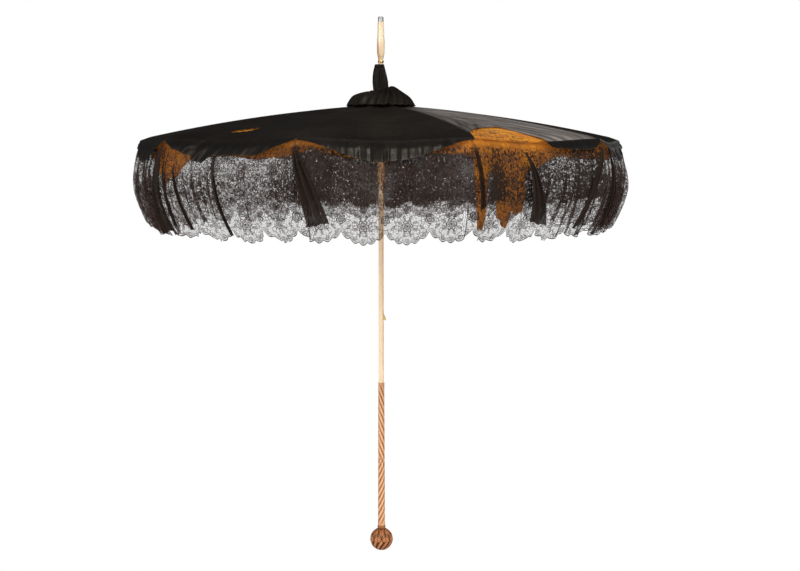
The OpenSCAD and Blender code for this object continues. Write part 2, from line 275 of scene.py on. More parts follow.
# ---------------------------------------------------------------- material helpers
class Tree:
    def __init__(self, name):
        self.mat = bpy.data.materials.new(name)
        self.mat.use_nodes = True
        self.nt = self.mat.node_tree
        self.nodes, self.links = self.nt.nodes, self.nt.links
        self.bsdf = self.nodes["Principled BSDF"]
        self.out = self.nodes["Material Output"]

    def put(self, socket, value):
        if isinstance(value, (int, float)):
            socket.default_value = value
        elif isinstance(value, (tuple, list)):
            socket.default_value = tuple(value) + (1,) * (len(socket.default_value) - len(value))
        else:
            self.links.new(value, socket)

    def m(self, op, a, b=None, c=None, clamp=False):
        n = self.nodes.new("ShaderNodeMath")
        n.operation, n.use_clamp = op, clamp
        for i, v in enumerate((a, b, c)):
            if v is not None:
                self.put(n.inputs[i], v)
        return n.outputs[0]

    def add(self, a, b): return self.m("ADD", a, b)
    def sub(self, a, b): return self.m("SUBTRACT", a, b)
    def mul(self, a, b): return self.m("MULTIPLY", a, b)
    def div(self, a, b): return self.m("DIVIDE", a, b)
    def mx(self, a, b): return self.m("MAXIMUM", a, b)
    def mn(self, a, b): return self.m("MINIMUM", a, b)
    def absv(self, a): return self.m("ABSOLUTE", a)

    def below(self, a, edge, soft):
        """1 where a is under edge, 0 above, with a soft step."""
        n = self.nodes.new("ShaderNodeMapRange")
        n.interpolation_type = "LINEAR"
        self.put(n.inputs["Value"], a)
        if isinstance(edge, (int, float)):
            n.inputs["From Min"].default_value, n.inputs["From Max"].default_value = edge - soft, edge + soft
        else:
            self.put(n.inputs["From Min"], self.sub(edge, soft))
            self.put(n.inputs["From Max"], self.add(edge, soft))
        n.inputs["To Min"].default_value, n.inputs["To Max"].default_value = 1, 0
        return n.outputs[0]

    def uv(self):
        n = self.nodes.new("ShaderNodeUVMap")
        n.uv_map = "UVMap"
        s = self.nodes.new("ShaderNodeSeparateXYZ")
        self.links.new(n.outputs[0], s.inputs[0])
        return n.outputs[0], s.outputs[0], s.outputs[1]

    def attr(self, name):
        n = self.nodes.new("ShaderNodeAttribute")
        n.attribute_name = name
        return n.outputs["Fac"]

    def coords(self, scale=(1, 1, 1), kind="Object"):
        t = self.nodes.new("ShaderNodeTexCoord")
        mp = self.nodes.new("ShaderNodeMapping")
        mp.inputs["Scale"].default_value = scale
        self.links.new(t.outputs[kind], mp.inputs[0])
        return mp.outputs[0]

    def noise(self, vec, scale, detail=3, rough=0.55, distort=0.0):
        n = self.nodes.new("ShaderNodeTexNoise")
        self.links.new(vec, n.inputs["Vector"])
        n.inputs["Scale"].default_value = scale
        n.inputs["Detail"].default_value = detail
        n.inputs["Roughness"].default_value = rough
        n.inputs["Distortion"].default_value = distort
        return n.outputs[0]

    def ramp(self, fac, stops):
        n = self.nodes.new("ShaderNodeValToRGB")
        e = n.color_ramp.elements
        while len(e) < len(stops):
            e.new(0.5)
        for el, (p, col) in zip(e, stops):
            el.position, el.color = p, tuple(col) + (1,)
        self.put(n.inputs[0], fac)
        return n.outputs[0]

    def mixc(self, fac, a, b, kind="MIX"):
        n = self.nodes.new("ShaderNodeMix")
        n.data_type, n.blend_type = "RGBA", kind
        self.put(n.inputs[0], fac)
        self.put(n.inputs[6], a)
        self.put(n.inputs[7], b)
        return n.outputs[2]

    def bump(self, height, strength, distance, under=None):
        n = self.nodes.new("ShaderNodeBump")
        n.inputs["Strength"].default_value, n.inputs["Distance"].default_value = strength, distance
        self.links.new(height, n.inputs["Height"])
        if under is not None:
            self.links.new(under, n.inputs["Normal"])
        return n.outputs[0]

    def set(self, **kw):
        for k, v in kw.items():
            self.put(self.bsdf.inputs[k.replace("_", " ")], v)


def weave(t, vec_uv, across, along):
    """Fine thread relief from UVs in metres: across and along are threads per metre."""
    s = t.nodes.new("ShaderNodeSeparateXYZ")
    t.links.new(vec_uv, s.inputs[0])
    a = t.m("SINE", t.mul(s.outputs[0], across * 2 * math.pi))
    b = t.m("SINE", t.mul(s.outputs[1], along * 2 * math.pi))
    return t.mx(t.absv(a), t.mul(t.absv(b), 0.7))


def mat_satin(name, tone=1.0, gloss=0.13):
    t = Tree(name)
    uvv, u, v = t.uv()
    ob = t.coords()
    broad = t.noise(ob, 9, 4)
    fine = t.noise(ob, 60, 3)
    dust = t.noise(t.coords((30, 30, 90)), 8, 5, 0.7)
    col = t.ramp(broad, [(0.25, (0.0040 * tone, 0.0032 * tone, 0.0026 * tone)), (0.55, (0.0075 * tone, 0.0060 * tone, 0.0050 * tone)),
                         (0.8, (0.014 * tone, 0.0115 * tone, 0.0095 * tone))])
    col = t.mixc(t.mul(t.below(dust, 0.38, 0.08), 0.35), col, (0.022, 0.018, 0.015))
    col = t.mixc(t.mul(t.attr("edge"), 0.40), col, (0.030, 0.021, 0.014))
    # one gore takes painted sheen: a lighter grey, with painted highlight streaks that run from the crown
    along = t.nodes.new("ShaderNodeMapping")
    along.inputs["Scale"].default_value = (120, 11, 1)
    t.links.new(uvv, along.inputs["Vector"])
    streak = t.noise(along.outputs[0], 1.0, 5, 0.65, 0.5)
    worn = t.mul(t.attr("worn"), t.mx(t.sub(t.mul(streak, 2.6), 0.75), 0.10))
    col = t.mixc(t.mn(worn, 1.0), col, (0.25, 0.222, 0.205))
    w = weave(t, uvv, 1150, 760)
    nrm = t.bump(w, 0.12, 0.00012)
    creases = t.noise(t.coords((34, 34, 10)), 3.0, 4, 0.6, 0.8)
    nrm = t.bump(creases, 0.35, 0.0022, nrm)
    t.set(Base_Color=col, Roughness=t.add(t.mul(fine, 0.20), 0.30), Normal=nrm)
    t.bsdf.inputs["Specular IOR Level"].default_value = gloss
    t.bsdf.inputs["Specular Tint"].default_value = (1.0, 0.90, 0.78, 1)
    return t.mat


def mat_amber(name):
    t = Tree(name)
    uvv, u, v = t.uv()
    ob = t.coords()
    n = t.noise(ob, 24, 4)
    stain = t.noise(ob, 42, 4, 0.6, 0.5)
    col = t.ramp(n, [(0.3, (0.80, 0.250, 0.010)), (0.6, (0.96, 0.360, 0.016)), (0.85, (1.0, 0.47, 0.045))])
    col = t.mixc(t.mul(t.below(stain, 0.47, 0.12), 0.42), col, (0.30, 0.100, 0.012))
    col = t.mixc(t.mul(t.attr("edge"), 0.55), col, (0.30, 0.12, 0.025))
    bits = t.noise(ob, 230, 2, 0.6, 0.7)
    bits = t.mul(t.m("SUBTRACT", 1.0, t.below(bits, 0.53, 0.02)), t.attr("worn"))
    col = t.mixc(t.mul(bits, 0.9), col, (0.012, 0.009, 0.006))
    w = weave(t, uvv, 1000, 700)
    nrm = t.bump(t.noise(t.coords((30, 30, 8)), 5, 4, 0.6, 0.6), 0.35, 0.002, t.bump(w, 0.15, 0.00012))
    t.set(Base_Color=col, Roughness=t.add(t.mul(n, 0.2), 0.34), Normal=nrm)
    t.bsdf.inputs["Sheen Weight"].default_value = 0.15
    t.bsdf.inputs["Sheen Tint"].default_value = (1.0, 0.8, 0.5, 1)
    tr = t.nodes.new("ShaderNodeBsdfTranslucent")
    t.links.new(col, tr.inputs["Color"])
    t.links.new(nrm, tr.inputs["Normal"])
    mix = t.nodes.new("ShaderNodeMixShader")
    mix.inputs[0].default_value = 0.42
    t.links.new(t.bsdf.outputs[0], mix.inputs[1])
    t.links.new(tr.outputs[0], mix.inputs[2])
    t.links.new(mix.outputs[0], t.out.inputs["Surface"])
    return t.mat


CELL = 68.8      # length of the pattern's repeat, in the pattern's own measure
WIDER = 0.8      # pattern measure per mm of cloth along the rim
DROP = 142.0     # mm from the rim to the lace's lowest points
LOBE = 3.8       # mm, depth of the small lobes along each scallop


def mat_lace(name):
    """Machine-made silk lace from cloth coordinates in mm: a fine net, a garland, roses over a scalloped edge."""
    t = Tree(name)
    uvv, u, v = t.uv()
    X, Y = t.mul(u, 100 * WIDER), t.mul(v, 100)
    h = t.sub(DROP, Y)                                   # height over the lowest points
    x = t.sub(t.mul(t.m("FRACT", t.div(X, CELL)), CELL), CELL / 2)
    ax = t.absv(x)
    xr = t.div(ax, CELL / 2)
    lobe = t.mul(t.sub(1.0, t.absv(t.m("COSINE", t.mul(x, math.pi / (CELL / 5))))), LOBE)
    he = t.add(t.mul(t.m("POWER", xr, 2.0), 15.0), lobe)
    d = t.sub(h, he)

    def line(value, half, soft=0.18):
        return t.below(t.absv(value), half, soft)

    def flower(cx, cy, radius, petals, depth=0.16, phase=0.0, mirror=False):
        """Outline, fill and heart of a flower at (cx, cy)."""
        px = t.sub(ax if mirror else x, cx)
        py = t.sub(h, cy)
        rho = t.m("SQRT", t.add(t.mul(px, px), t.mul(py, py)))
        th = t.m("ARCTAN2", py, px)
        c = t.absv(t.m("COSINE", t.add(t.mul(th, petals / 2), phase)))
        edge = t.mul(t.add(t.mul(c, depth * 2), 1 - depth * 2), radius)
        inner = t.mul(edge, 0.56)
        gap = t.mul(t.below(t.absv(t.m("SINE", t.add(t.mul(th, petals / 2), phase))), 0.985, 0.02), 1.0)
        out = line(t.sub(rho, edge), 0.70)
        ring = line(t.sub(rho, inner), 0.50)
        fill = t.mul(t.below(rho, edge, 0.2), t.add(0.24, t.mul(t.below(rho, inner, 0.3), 0.18)))
        heart = t.below(rho, radius * 0.17, 0.2)
        veins = t.mul(t.mul(t.below(gap, 0.5, 0.2), t.below(rho, edge, 0.2)), 0.9)
        a = t.mx(t.mx(out, ring), t.mx(heart, fill))
        return t.mx(a, veins), rho, th

    def ellipse(px, py, a, b, cosa, sina):
        qx = t.add(t.mul(px, cosa), t.mul(py, sina))
        qy = t.sub(t.mul(py, cosa), t.mul(px, sina))
        e = t.m("SQRT", t.add(t.mul(t.div(qx, a), t.div(qx, a)), t.mul(t.div(qy, b), t.div(qy, b))))
        rim = t.below(t.absv(t.sub(e, 0.9)), 0.13, 0.05)
        mid = t.mul(t.below(t.absv(qy), 0.28, 0.12), t.below(e, 0.9, 0.05))
        return t.mx(t.mx(rim, mid), t.mul(t.below(e, 0.95, 0.05), 0.34))

    parts = []
    # edge: a cord along the lobes, and a finer one inside it
    parts.append(t.below(d, 1.25, 0.2))
    parts.append(t.mul(line(t.sub(d, 3.4), 0.35), 0.85))
    cc = t.sub(t.mul(t.m("FRACT", t.add(t.div(x, CELL / 5), 0.5)), CELL / 5), CELL / 10)
    cr = t.m("SQRT", t.add(t.mul(cc, cc), t.mul(t.sub(d, 6.6), t.sub(d, 6.6))))
    parts.append(t.mul(line(t.sub(cr, 2.3), 0.42), 0.9))
    parts.append(t.mul(t.below(cr, 1.0, 0.25), 0.85))
    # the rose in each scallop, ringed with leaves
    rose, rho, th = flower(0.0, 27.0, 8.6, 6)
    parts.append(rose)
    seg = t.sub(t.m("FRACT", t.div(th, math.radians(45))), 0.5)
    ang = t.mul(seg, math.radians(45))
    lx, ly = t.sub(t.mul(rho, t.m("COSINE", ang)), 12.6), t.mul(rho, t.m("SINE", ang))
    parts.append(ellipse(lx, ly, 3.2, 1.9, 1.0, 0.0))
    # the flowers between scallops
    side, rho2, th2 = flower(CELL / 2, 36.0, 6.8, 5, 0.14, 0.6, mirror=True)
    parts.append(side)
    parts.append(ellipse(t.sub(ax, 21.5), t.sub(h, 45.5), 4.6, 2.0, 0.8, 0.6))
    parts.append(ellipse(t.sub(ax, 22.5), t.sub(h, 25.5), 4.4, 1.9, 0.75, -0.66))
    top0, rho0, th0 = flower(0.0, 50.0, 5.4, 5, 0.15, 0.2)
    parts.append(top0)
    # garland with leaves
    gv = t.add(62.0, t.mul(t.m("COSINE", t.mul(x, 2 * math.pi / CELL)), 6.0))
    gd = t.sub(h, gv)
    parts.append(line(gd, 0.55))
    lx = t.sub(t.mul(t.m("FRACT", t.div(t.add(x, 100.0), 8.6)), 8.6), 4.3)
    parts.append(ellipse(lx, t.sub(gd, 3.9), 3.9, 1.7, 0.75, 0.66))
    parts.append(ellipse(lx, t.add(gd, 3.9), 3.9, 1.7, 0.75, -0.66))
    # sprays that climb from the garland
    stem = t.sub(x, t.mul(t.m("SINE", t.mul(h, 0.16)), 3.2))
    high = t.mul(t.m("GREATER_THAN", h, 66.0), t.m("LESS_THAN", h, 96.0))
    parts.append(t.mul(line(stem, 0.5), high))
    top, rho3, th3 = flower(0.0, 98.0, 8.4, 5, 0.15, 0.3)
    parts.append(top)
    seg3 = t.mul(t.sub(t.m("FRACT", t.div(th3, math.radians(60))), 0.5), math.radians(60))
    parts.append(ellipse(t.sub(t.mul(rho3, t.m("COSINE", seg3)), 12.4), t.mul(rho3, t.m("SINE", seg3)), 3.6, 1.7, 1.0, 0.0))
    side2, rho4, th4 = flower(CELL / 2, 80.0, 6.6, 6, 0.15, 0.0, mirror=True)
    parts.append(side2)
    parts.append(ellipse(t.sub(ax, 22.0), t.sub(h, 82.0), 4.8, 2.0, 0.6, 0.8))
    parts.append(ellipse(t.sub(ax, 18.5), t.sub(h, 116.0), 4.8, 2.0, 0.6, -0.8))
    side3, rho5, th5 = flower(CELL / 2, 118.0, 7.0, 5, 0.15, 0.9, mirror=True)
    parts.append(side3)
    # spots on the net
    sx = t.sub(t.mul(t.m("FRACT", t.div(t.add(x, t.mul(t.m("MODULO", t.m("FLOOR", t.div(h, 7.0)), 2.0), 4.3)), 8.6)), 8.6), 4.3)
    sy = t.sub(t.mul(t.m("FRACT", t.div(h, 7.0)), 7.0), 3.5)
    sr = t.m("SQRT", t.add(t.mul(sx, sx), t.mul(sy, sy)))
    parts.append(t.mul(t.below(sr, 0.8, 0.2), t.m("GREATER_THAN", h, 70.0)))
    # heading sewn to the rim
    parts.append(t.mul(t.mul(t.m("GREATER_THAN", h, DROP - 5), t.m("GREATER_THAN", t.attr("dense"), 0.3)), 0.9))
    # net
    vo = t.nodes.new("ShaderNodeTexVoronoi")
    vo.voronoi_dimensions, vo.feature = "2D", "DISTANCE_TO_EDGE"
    vo.inputs["Scale"].default_value = 100 / 1.9
    vo.inputs["Randomness"].default_value = 0.85
    t.links.new(uvv, vo.inputs["Vector"])
    net = t.below(vo.outputs["Distance"], 0.120, 0.05)
    parts.append(t.mul(net, t.add(0.78, t.mul(t.below(h, 58.0, 6.0), 0.08))))
    # curling sprigs between the flowers
    v2 = t.nodes.new("ShaderNodeTexVoronoi")
    v2.voronoi_dimensions, v2.feature = "2D", "DISTANCE_TO_EDGE"
    v2.inputs["Scale"].default_value = 100 / 5.2
    v2.inputs["Randomness"].default_value = 1.0
    t.links.new(uvv, v2.inputs["Vector"])
    curls = t.below(v2.outputs["Distance"], 0.085, 0.03)
    where = t.noise(uvv, 100 / 11.0, 2, 0.5, 0.4)
    where = t.m("SUBTRACT", 1.0, t.below(where, 0.46, 0.03))
    border = t.below(h, 58.0, 6.0)
    parts.append(t.mul(t.mul(curls, where), t.sub(0.92, t.mul(border, 0.08))))
    # closely worked ground above the border
    blot = t.noise(uvv, 100 / 4.6, 2, 0.6, 0.6)
    field = t.m("SUBTRACT", 1.0, t.below(blot, t.sub(0.66, t.mul(t.attr("dense"), 0.34)), 0.035))
    parts.append(t.mul(t.mul(field, t.m("GREATER_THAN", t.attr("dense"), 0.02)), 0.96))
    total = parts[0]
    for p in parts[1:]:
        total = t.mx(total, p)
    wear = t.noise(t.coords(), 16, 3)
    alpha = t.mul(total, t.add(0.85, t.mul(wear, 0.30)))
    alpha = t.mul(t.mn(alpha, 1.0), t.sub(1.0, t.mul(t.below(Y, 11.0, 3.0), 0.62)))
    col = t.mixc(wear, (0.0085, 0.0058, 0.0042), (0.0220, 0.0145, 0.0108))
    col = t.mixc(t.mul(t.mul(field, t.m("GREATER_THAN", t.attr("dense"), 0.02)), 0.97), (0.031, 0.0185, 0.0155), col)
    relief = t.bump(total, 0.5, 0.0004)
    t.set(Base_Color=col, Alpha=alpha, Normal=relief)
    t.bsdf.inputs["Roughness"].default_value = 0.65
    t.bsdf.inputs["Specular IOR Level"].default_value = 0.05
    t.mat.blend_method = "HASHED" if hasattr(t.mat, "blend_method") else None
    return t.mat


def mat_wood(name, light, dark, gloss=0.32, groove=False, scale=1.0, pores=0.5):
    t = Tree(name)
    grain = t.noise(t.coords((260 * scale, 260 * scale, 9 * scale)), 1.0, 5, 0.6, 0.4)
    streak = t.noise(t.coords((900 * scale, 900 * scale, 22 * scale)), 1.0, 3, 0.7)
    patch = t.noise(t.coords(), 14, 3)
    mid = tuple((a + b) / 2 for a, b in zip(light, dark))
    col = t.ramp(grain, [(0.28, dark), (0.5, mid), (0.72, light)])
    col = t.mixc(t.mul(t.below(streak, 0.40, 0.05), pores), col, tuple(c * 0.55 for c in dark))
    col = t.mixc(t.mul(patch, 0.25), col, light)
    if groove:
        # painted shade darkens the grooves and painted highlight lightens the ridges
        col = t.mixc(t.mul(t.attr("groove"), 0.88), col, tuple(c * 0.22 for c in dark))
        col = t.mixc(t.mul(t.attr("ridge"), 0.50), col, tuple(min(1, c * 1.6) for c in light))
    nrm = t.bump(t.add(grain, t.mul(streak, 0.5)), 0.25, 0.0002)
    t.set(Base_Color=col, Roughness=t.add(t.mul(streak, 0.2), gloss), Normal=nrm)
    t.bsdf.inputs["Specular IOR Level"].default_value = 0.35
    t.bsdf.inputs["Coat Weight"].default_value = 0.15
    t.bsdf.inputs["Coat Roughness"].default_value = 0.15
    return t.mat


def mat_bone(name):
    t = Tree(name)
    n = t.noise(t.coords((60, 60, 14)), 3.0, 4, 0.6)
    fine = t.noise(t.coords((700, 700, 40)), 1.0, 3)
    col = t.ramp(n, [(0.3, (0.560, 0.370, 0.173)), (0.5, (0.720, 0.562, 0.360)), (0.75, (0.760, 0.644, 0.490))])
    col = t.mixc(t.mul(t.below(fine, 0.42, 0.05), 0.35), col, (0.360, 0.207, 0.086))
    # painted shadow down one side of the ferrule and painted shade in its groove
    col = t.mixc(t.mul(t.attr("stain"), 0.8), col, (0.400, 0.222, 0.086))
    t.set(Base_Color=col, Roughness=t.add(t.mul(fine, 0.15), 0.24), Normal=t.bump(fine, 0.15, 0.0001))
    t.bsdf.inputs["Subsurface Weight"].default_value = 0.08
    t.bsdf.inputs["Subsurface Scale"].default_value = 0.002
    t.bsdf.inputs["Coat Weight"].default_value = 0.3
    return t.mat


def mat_metal(name, light, dark, rough=0.3, metallic=1.0, stretch=(300, 300, 30)):
    t = Tree(name)
    n = t.noise(t.coords(stretch), 1.0, 4, 0.6)
    spot = t.noise(t.coords(), 220, 4, 0.7)
    col = t.ramp(n, [(0.3, dark), (0.7, light)])
    col = t.mixc(t.mul(t.below(spot, 0.40, 0.06), 0.6), col, tuple(c * 0.35 for c in dark))
    t.set(Base_Color=col, Roughness=t.add(t.mul(n, 0.25), rough), Normal=t.bump(spot, 0.2, 0.00015))
    t.bsdf.inputs["Metallic"].default_value = metallic
    return t.mat


def paint(o, *mats):
    o.data.materials.clear()
    for mt in mats:
        o.data.materials.append(mt)


# the cover and the frill are the same satin: the cover's copy takes a lighter tone, painted light on its top, and the
# frill's copy a much darker one, painted shade
SATIN = mat_satin("black_satin", 1.25, 0.06)
FRILL = mat_satin("black_satin_frill", 0.40, 0.17)
AMBER = mat_amber("amber_silk")
LACE = mat_lace("black_lace")
PALE = mat_wood("pale_wood", (1.0, 0.81, 0.565), (0.86, 0.575, 0.31), 0.30, pores=0.25)
FLUTED = mat_wood("fluted_wood", (0.72, 0.375, 0.185), (0.40, 0.155, 0.065), 0.30, groove=True)
CARVED = mat_wood("carved_wood", (0.46, 0.180, 0.068), (0.100, 0.028, 0.009), 0.22, groove=True, scale=0.7)
CARVED.node_tree.nodes["Principled BSDF"].inputs["Specular IOR Level"].default_value = 0.16
CARVED.node_tree.nodes["Principled BSDF"].inputs["Coat Weight"].default_value = 0.06
BONE = mat_bone("bone")
CAP = mat_metal("cap_metal", (0.50, 0.50, 0.49), (0.25, 0.25, 0.25), 0.32)
BRASS = mat_metal("brass", (0.62, 0.44, 0.18), (0.32, 0.20, 0.07), 0.28)
DARK = mat_metal("dark_steel", (0.07, 0.065, 0.065), (0.03, 0.028, 0.028), 0.38, 0.75)
BRIGHT = mat_metal("bright_steel", (0.66, 0.64, 0.60), (0.36, 0.34, 0.31), 0.26)
WARM = mat_metal("bright_steel_yellowed", (0.82, 0.56, 0.32), (0.52, 0.32, 0.16), 0.36)
GIMP = mat_satin("gimp_cord", 0.7)

# ---------------------------------------------------------------- the hanging line shared by frill, lining and lace
GORES = {}      # gore g lies between ribs g and g + 1, s from 0 at rib g to 1 at rib g + 1


def rib_angle(k):
    return math.radians(36 * (k - 1))


def half(k, side):
    """Frame of the half gore that starts at rib k's tip and goes round by side (+1 or -1)."""
    a = rib_angle(k)
    er = np.array([math.cos(a), math.sin(a), 0.0])
    et = np.array([-math.sin(a), math.cos(a), 0.0]) * side
    along = -math.sin(HALF) * er + math.cos(HALF) * et
    normal = math.cos(HALF) * er + math.sin(HALF) * et
    return er, along, normal


def rim_drop(w):
    """How far the rim sags under the tip's height, w from 0 at a rib to 1 in mid gore, in metres."""
    return 0.0045 * np.sin(np.clip(w, 0, 1) * np.pi / 2) ** 2 + 0.0016


def rim_z(w):
    return S(R) - rim_drop(w)


def bulge(V):
    """How far the flounce stands out of the rim at a depth V in metres."""
    t = np.clip(np.asarray(V, float) / 0.142, 0, 1.1)
    return 0.0165 * np.sin(np.pi * np.clip(t * 1.02, 0, 1)) ** 0.9 - 0.0135 * t ** 2.2


def place(k, side, w_chord, o, z):
    """Points at w_chord (0 at the rib, 1 in mid gore) along the rim, o outside it and at height z."""
    er, along, normal = half(k, side)
    turn = smooth(w_chord, 0.0, 0.22)[..., None]
    nn = er * (1 - turn) + normal * turn
    nn = nn / np.linalg.norm(nn, axis=-1, keepdims=True)
    P = er * R + along * (np.asarray(w_chord) * L)[..., None] + nn * np.asarray(o)[..., None]
    P[..., 2] = z
    return P


def gore_of(k, side):
    """The gore on this side of rib k and the direction in which s runs."""
    return (k if side > 0 else (k - 2) % N + 1), side


def s_in_gore(side, w):
    """Position in the gore for w on the half that starts at its rib."""
    return w / 2 if side > 0 else 1 - w / 2


def curve(points, s):
    p = np.asarray(points, float)
    return np.interp(s, p[:, 0], p[:, 1])


# hem depth of the satin frill in mm: a swag between two tips. Gores 7 to 10 and 1 face the front.
SWAG = [(0, 2), (0.06, 6), (0.13, 11), (0.22, 18), (0.32, 24), (0.42, 27.5), (0.5, 28), (0.6, 27), (0.7, 23), (0.8, 17), (0.88, 10), (0.95, 5), (1, 2)]
SATIN_HEM = {g: SWAG for g in range(1, N + 1)}
SATIN_HEM[8] = [(0, 2), (0.06, 4.5), (0.14, 9.5), (0.25, 18), (0.36, 26), (0.42, 27.5), (0.52, 27), (0.62, 25.5), (0.72, 20), (0.84, 11.5), (0.92, 5), (0.97, 3), (1, 2)]
SATIN_HEM[6] = [(0, 2), (0.2, 18), (0.42, 27), (0.6, 31), (0.75, 28), (0.9, 14), (1, 3)]
SATIN_HEM[7] = [(0, 2), (0.08, 12), (0.2, 20), (0.32, 30), (0.36, 31), (0.42, 21), (0.6, 19), (0.72, 22), (0.8, 19), (0.9, 11), (1, 2)]
SATIN_HEM[9] = [(0, 2), (0.5, 0.9), (0.555, 0.9), (0.575, 8), (0.62, 10), (0.72, 13), (0.85, 15.5), (0.93, 13), (1, 3)]
# hem depth of the lining's frill in mm
BAND = [(0, 10), (0.05, 13), (0.12, 18), (0.22, 23), (0.34, 25), (0.5, 25), (0.66, 25), (0.78, 22), (0.88, 18), (0.95, 13), (1, 10)]
LINING_HEM = {g: BAND for g in range(1, N + 1)}
LINING_HEM[8] = [(0, 10), (0.06, 12.5), (0.14, 18), (0.22, 22), (0.3, 24.5), (0.5, 25), (0.7, 19), (0.8, 18), (0.86, 21), (0.93, 21), (1, 17)]
LINING_HEM[7] = [(0, 60), (0.03, 57), (0.06, 62), (0.1, 50), (0.14, 37), (0.18, 28), (0.25, 24), (0.5, 20), (0.62, 21), (0.7, 25.5), (0.78, 24), (0.85, 18), (0.93, 12.5), (1, 10)]
LINING_HEM[6] = [(0, 12), (0.4, 24), (0.6, 28), (0.72, 52), (0.8, 48), (0.86, 66), (0.93, 74), (0.97, 66), (1, 60)]
LINING_HEM[9] = [(0, 36), (0.010, 62), (0.022, 92), (0.036, 118), (0.05, 128), (0.066, 124), (0.080, 129), (0.094, 108), (0.105, 60), (0.12, 46), (0.155, 48), (0.168, 62), (0.18, 108),
                 (0.21, 112), (0.24, 119), (0.265, 121), (0.285, 104), (0.30, 98), (0.33, 101), (0.36, 99), (0.385, 101), (0.40, 84), (0.41, 52), (0.43, 40), (0.50, 34),
                 (0.56, 30), (0.62, 24), (0.75, 19), (0.9, 19), (1, 20)]
LINING_HEM[10] = [(0, 30), (0.05, 34), (0.1, 26), (0.3, 26), (0.7, 25), (0.9, 18), (1, 10)]


def gather(U, V, seed, lam1=9.5, lam2=5.7):
    """Small folds of gathered silk, in mm, from cloth coordinates in mm."""
    f = noise1(U / lam1, seed) + 0.55 * noise1(U / lam2 + 3.3, seed + 1) + 0.25 * noise1(U / 2.9, seed + 2)
    return f


def frill_piece(name, k, side, hem, inner, mat, seed, amp):
    g, _ = gore_of(k, side)
    nu, nv = 130, 18
    w = np.linspace(0, 1, nu)
    s = s_in_gore(side, w)
    depth = curve(hem[g], s)
    jag = noise1(s * 60 + g * 17, seed + 5) * 0.6 + noise1(s * 190 + g * 31, seed + 6) * 0.35
    depth = np.maximum(depth + jag * (2.4 if inner else 1.0) * np.clip(depth / 30, 0.3, 2.2), 0.9) * mm
    t = np.linspace(0, 1, nv)
    W, T = np.meshgrid(w, t, indexing="ij")
    V = T * depth[:, None]
    U = (s * 2 * L * 1000 + g * 400)[:, None] + 0 * T
    fold = gather(U, V, seed + g * 11)
    if g == 7 and not inner:
        fold = 2.0 * noise1((U + 700 * V) / 17.0, 77) + 0.9 * noise1((U + 700 * V) / 8.5, 78)
    grow = smooth(V, 0, 0.020)
    ends = np.sin(np.clip(W, 0, 1) * np.pi) ** 0.25 if False else 1.0
    seamless = smooth(W, 0.0, 0.05)
    o = bulge(V) + (amp * mm) * fold * grow * (0.35 + 0.65 * seamless)
    if inner:
        o = bulge(V) * 0.55 - 0.0050 - 0.0035 * smooth(V, 0.0, 0.02) + (amp * mm) * fold * grow
        o = o - 0.006 * smooth(V, 0.05, 0.12)
    else:
        o = o + 0.0012 + 0.0042 * smooth(V, 0, 0.012) + 0.002 * smooth(V, 0.012, 0.03)
    shift = 0.0015 * noise1(U / 16 + 50, seed + 3) * grow * np.sin(np.pi * W)
    drift = 0.0
    if inner and g == 9 and side > 0:
        drift = 0.010 * smooth(V, 0.05, 0.13) * (W < 2)
    z = rim_z(w)[:, None] - V - (0.0006 if inner else 0.0)
    P = place(k, side, W + (shift + drift) / L, o, z)
    uv = np.stack([U * mm * 1.5, V], -1)
    edge = smooth(T, 0.86, 1.0) * np.clip(depth[:, None] / 0.012, 0, 1)
    worn = np.full(W.shape, 0.0)
    piece = grid(name, P, uv=uv, attrs={"edge": edge, "worn": worn}, flip=side < 0)
    paint(piece, mat)
    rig.ride(piece, f"flounce_{k}_body")
    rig.slot(piece, "amber_silk" if inner else "black_satin")
    return piece


def lace_point(k, side, X, Y, lift=0.0):
    """A point of the lace from cloth coordinates in mm: X from the rib along the rim, Y down from it."""
    g, _ = gore_of(k, side)
    X, Y = np.asarray(X, float), np.asarray(Y, float)
    w = X / 172.0
    V = Y * mm
    low = smooth(V, 0.012, 0.085)
    ends = smooth(w, 0, 0.06) * (1 - smooth(w, 0.94, 1.0))
    ph = (g * 2.1 + (0 if side > 0 else 1.3))
    base = w.copy()
    o = bulge(V)
    xc = base * L
    # broad folds
    k1 = 2 * np.pi * (2.5 * w + 0.22 * np.sin(2 * np.pi * w + ph))
    wob = 1 + 0.35 * noise1(w * 3 + g * 5, 71)
    front = g in (7, 8, 9)
    o = o + (0.0042 if front else 0.0062) * low * wob * np.sin(k1) * ends - 0.0015 * low
    xc = xc + (0.0 if front else 0.0014) * low * np.sin(2 * k1 + 0.6) * ends
    # small gathers from the heading
    o = o + 0.0016 * (1 - 0.6 * low) * noise1(X / 5.5 + g * 40, 33 + (side > 0)) * smooth(V, 0, 0.01) * ends
    # pressed pleats, three layers deep, that widen downwards
    for wp, hw, d0, d1, e, lean in PLEATS[g][side]:
        tau = np.clip((w - wp) / hw, -1, 1)
        bell = (1 + np.cos(np.pi * tau)) / 2
        depth = d0 + (d1 - d0) * smooth(V, 0.0, 0.12)
        xc = xc - depth * mm * np.sin(np.pi * tau) * bell + lean * mm * smooth(V, 0.01, 0.14) * bell
        o = o + e * mm * (0.25 + 0.75 * low) * np.sin(np.pi * tau)
    ruffle = (0.0012 if front else 0.0022) * smooth(V, 0.10, 0.142) * np.sin(2 * np.pi * X / CELL * 3 + g) * ends
    o = o + ruffle
    z = rim_z(np.clip(xc / L, 0, 1)) - V - 0.0003
    return place(k, side, xc / L, o + lift, z)


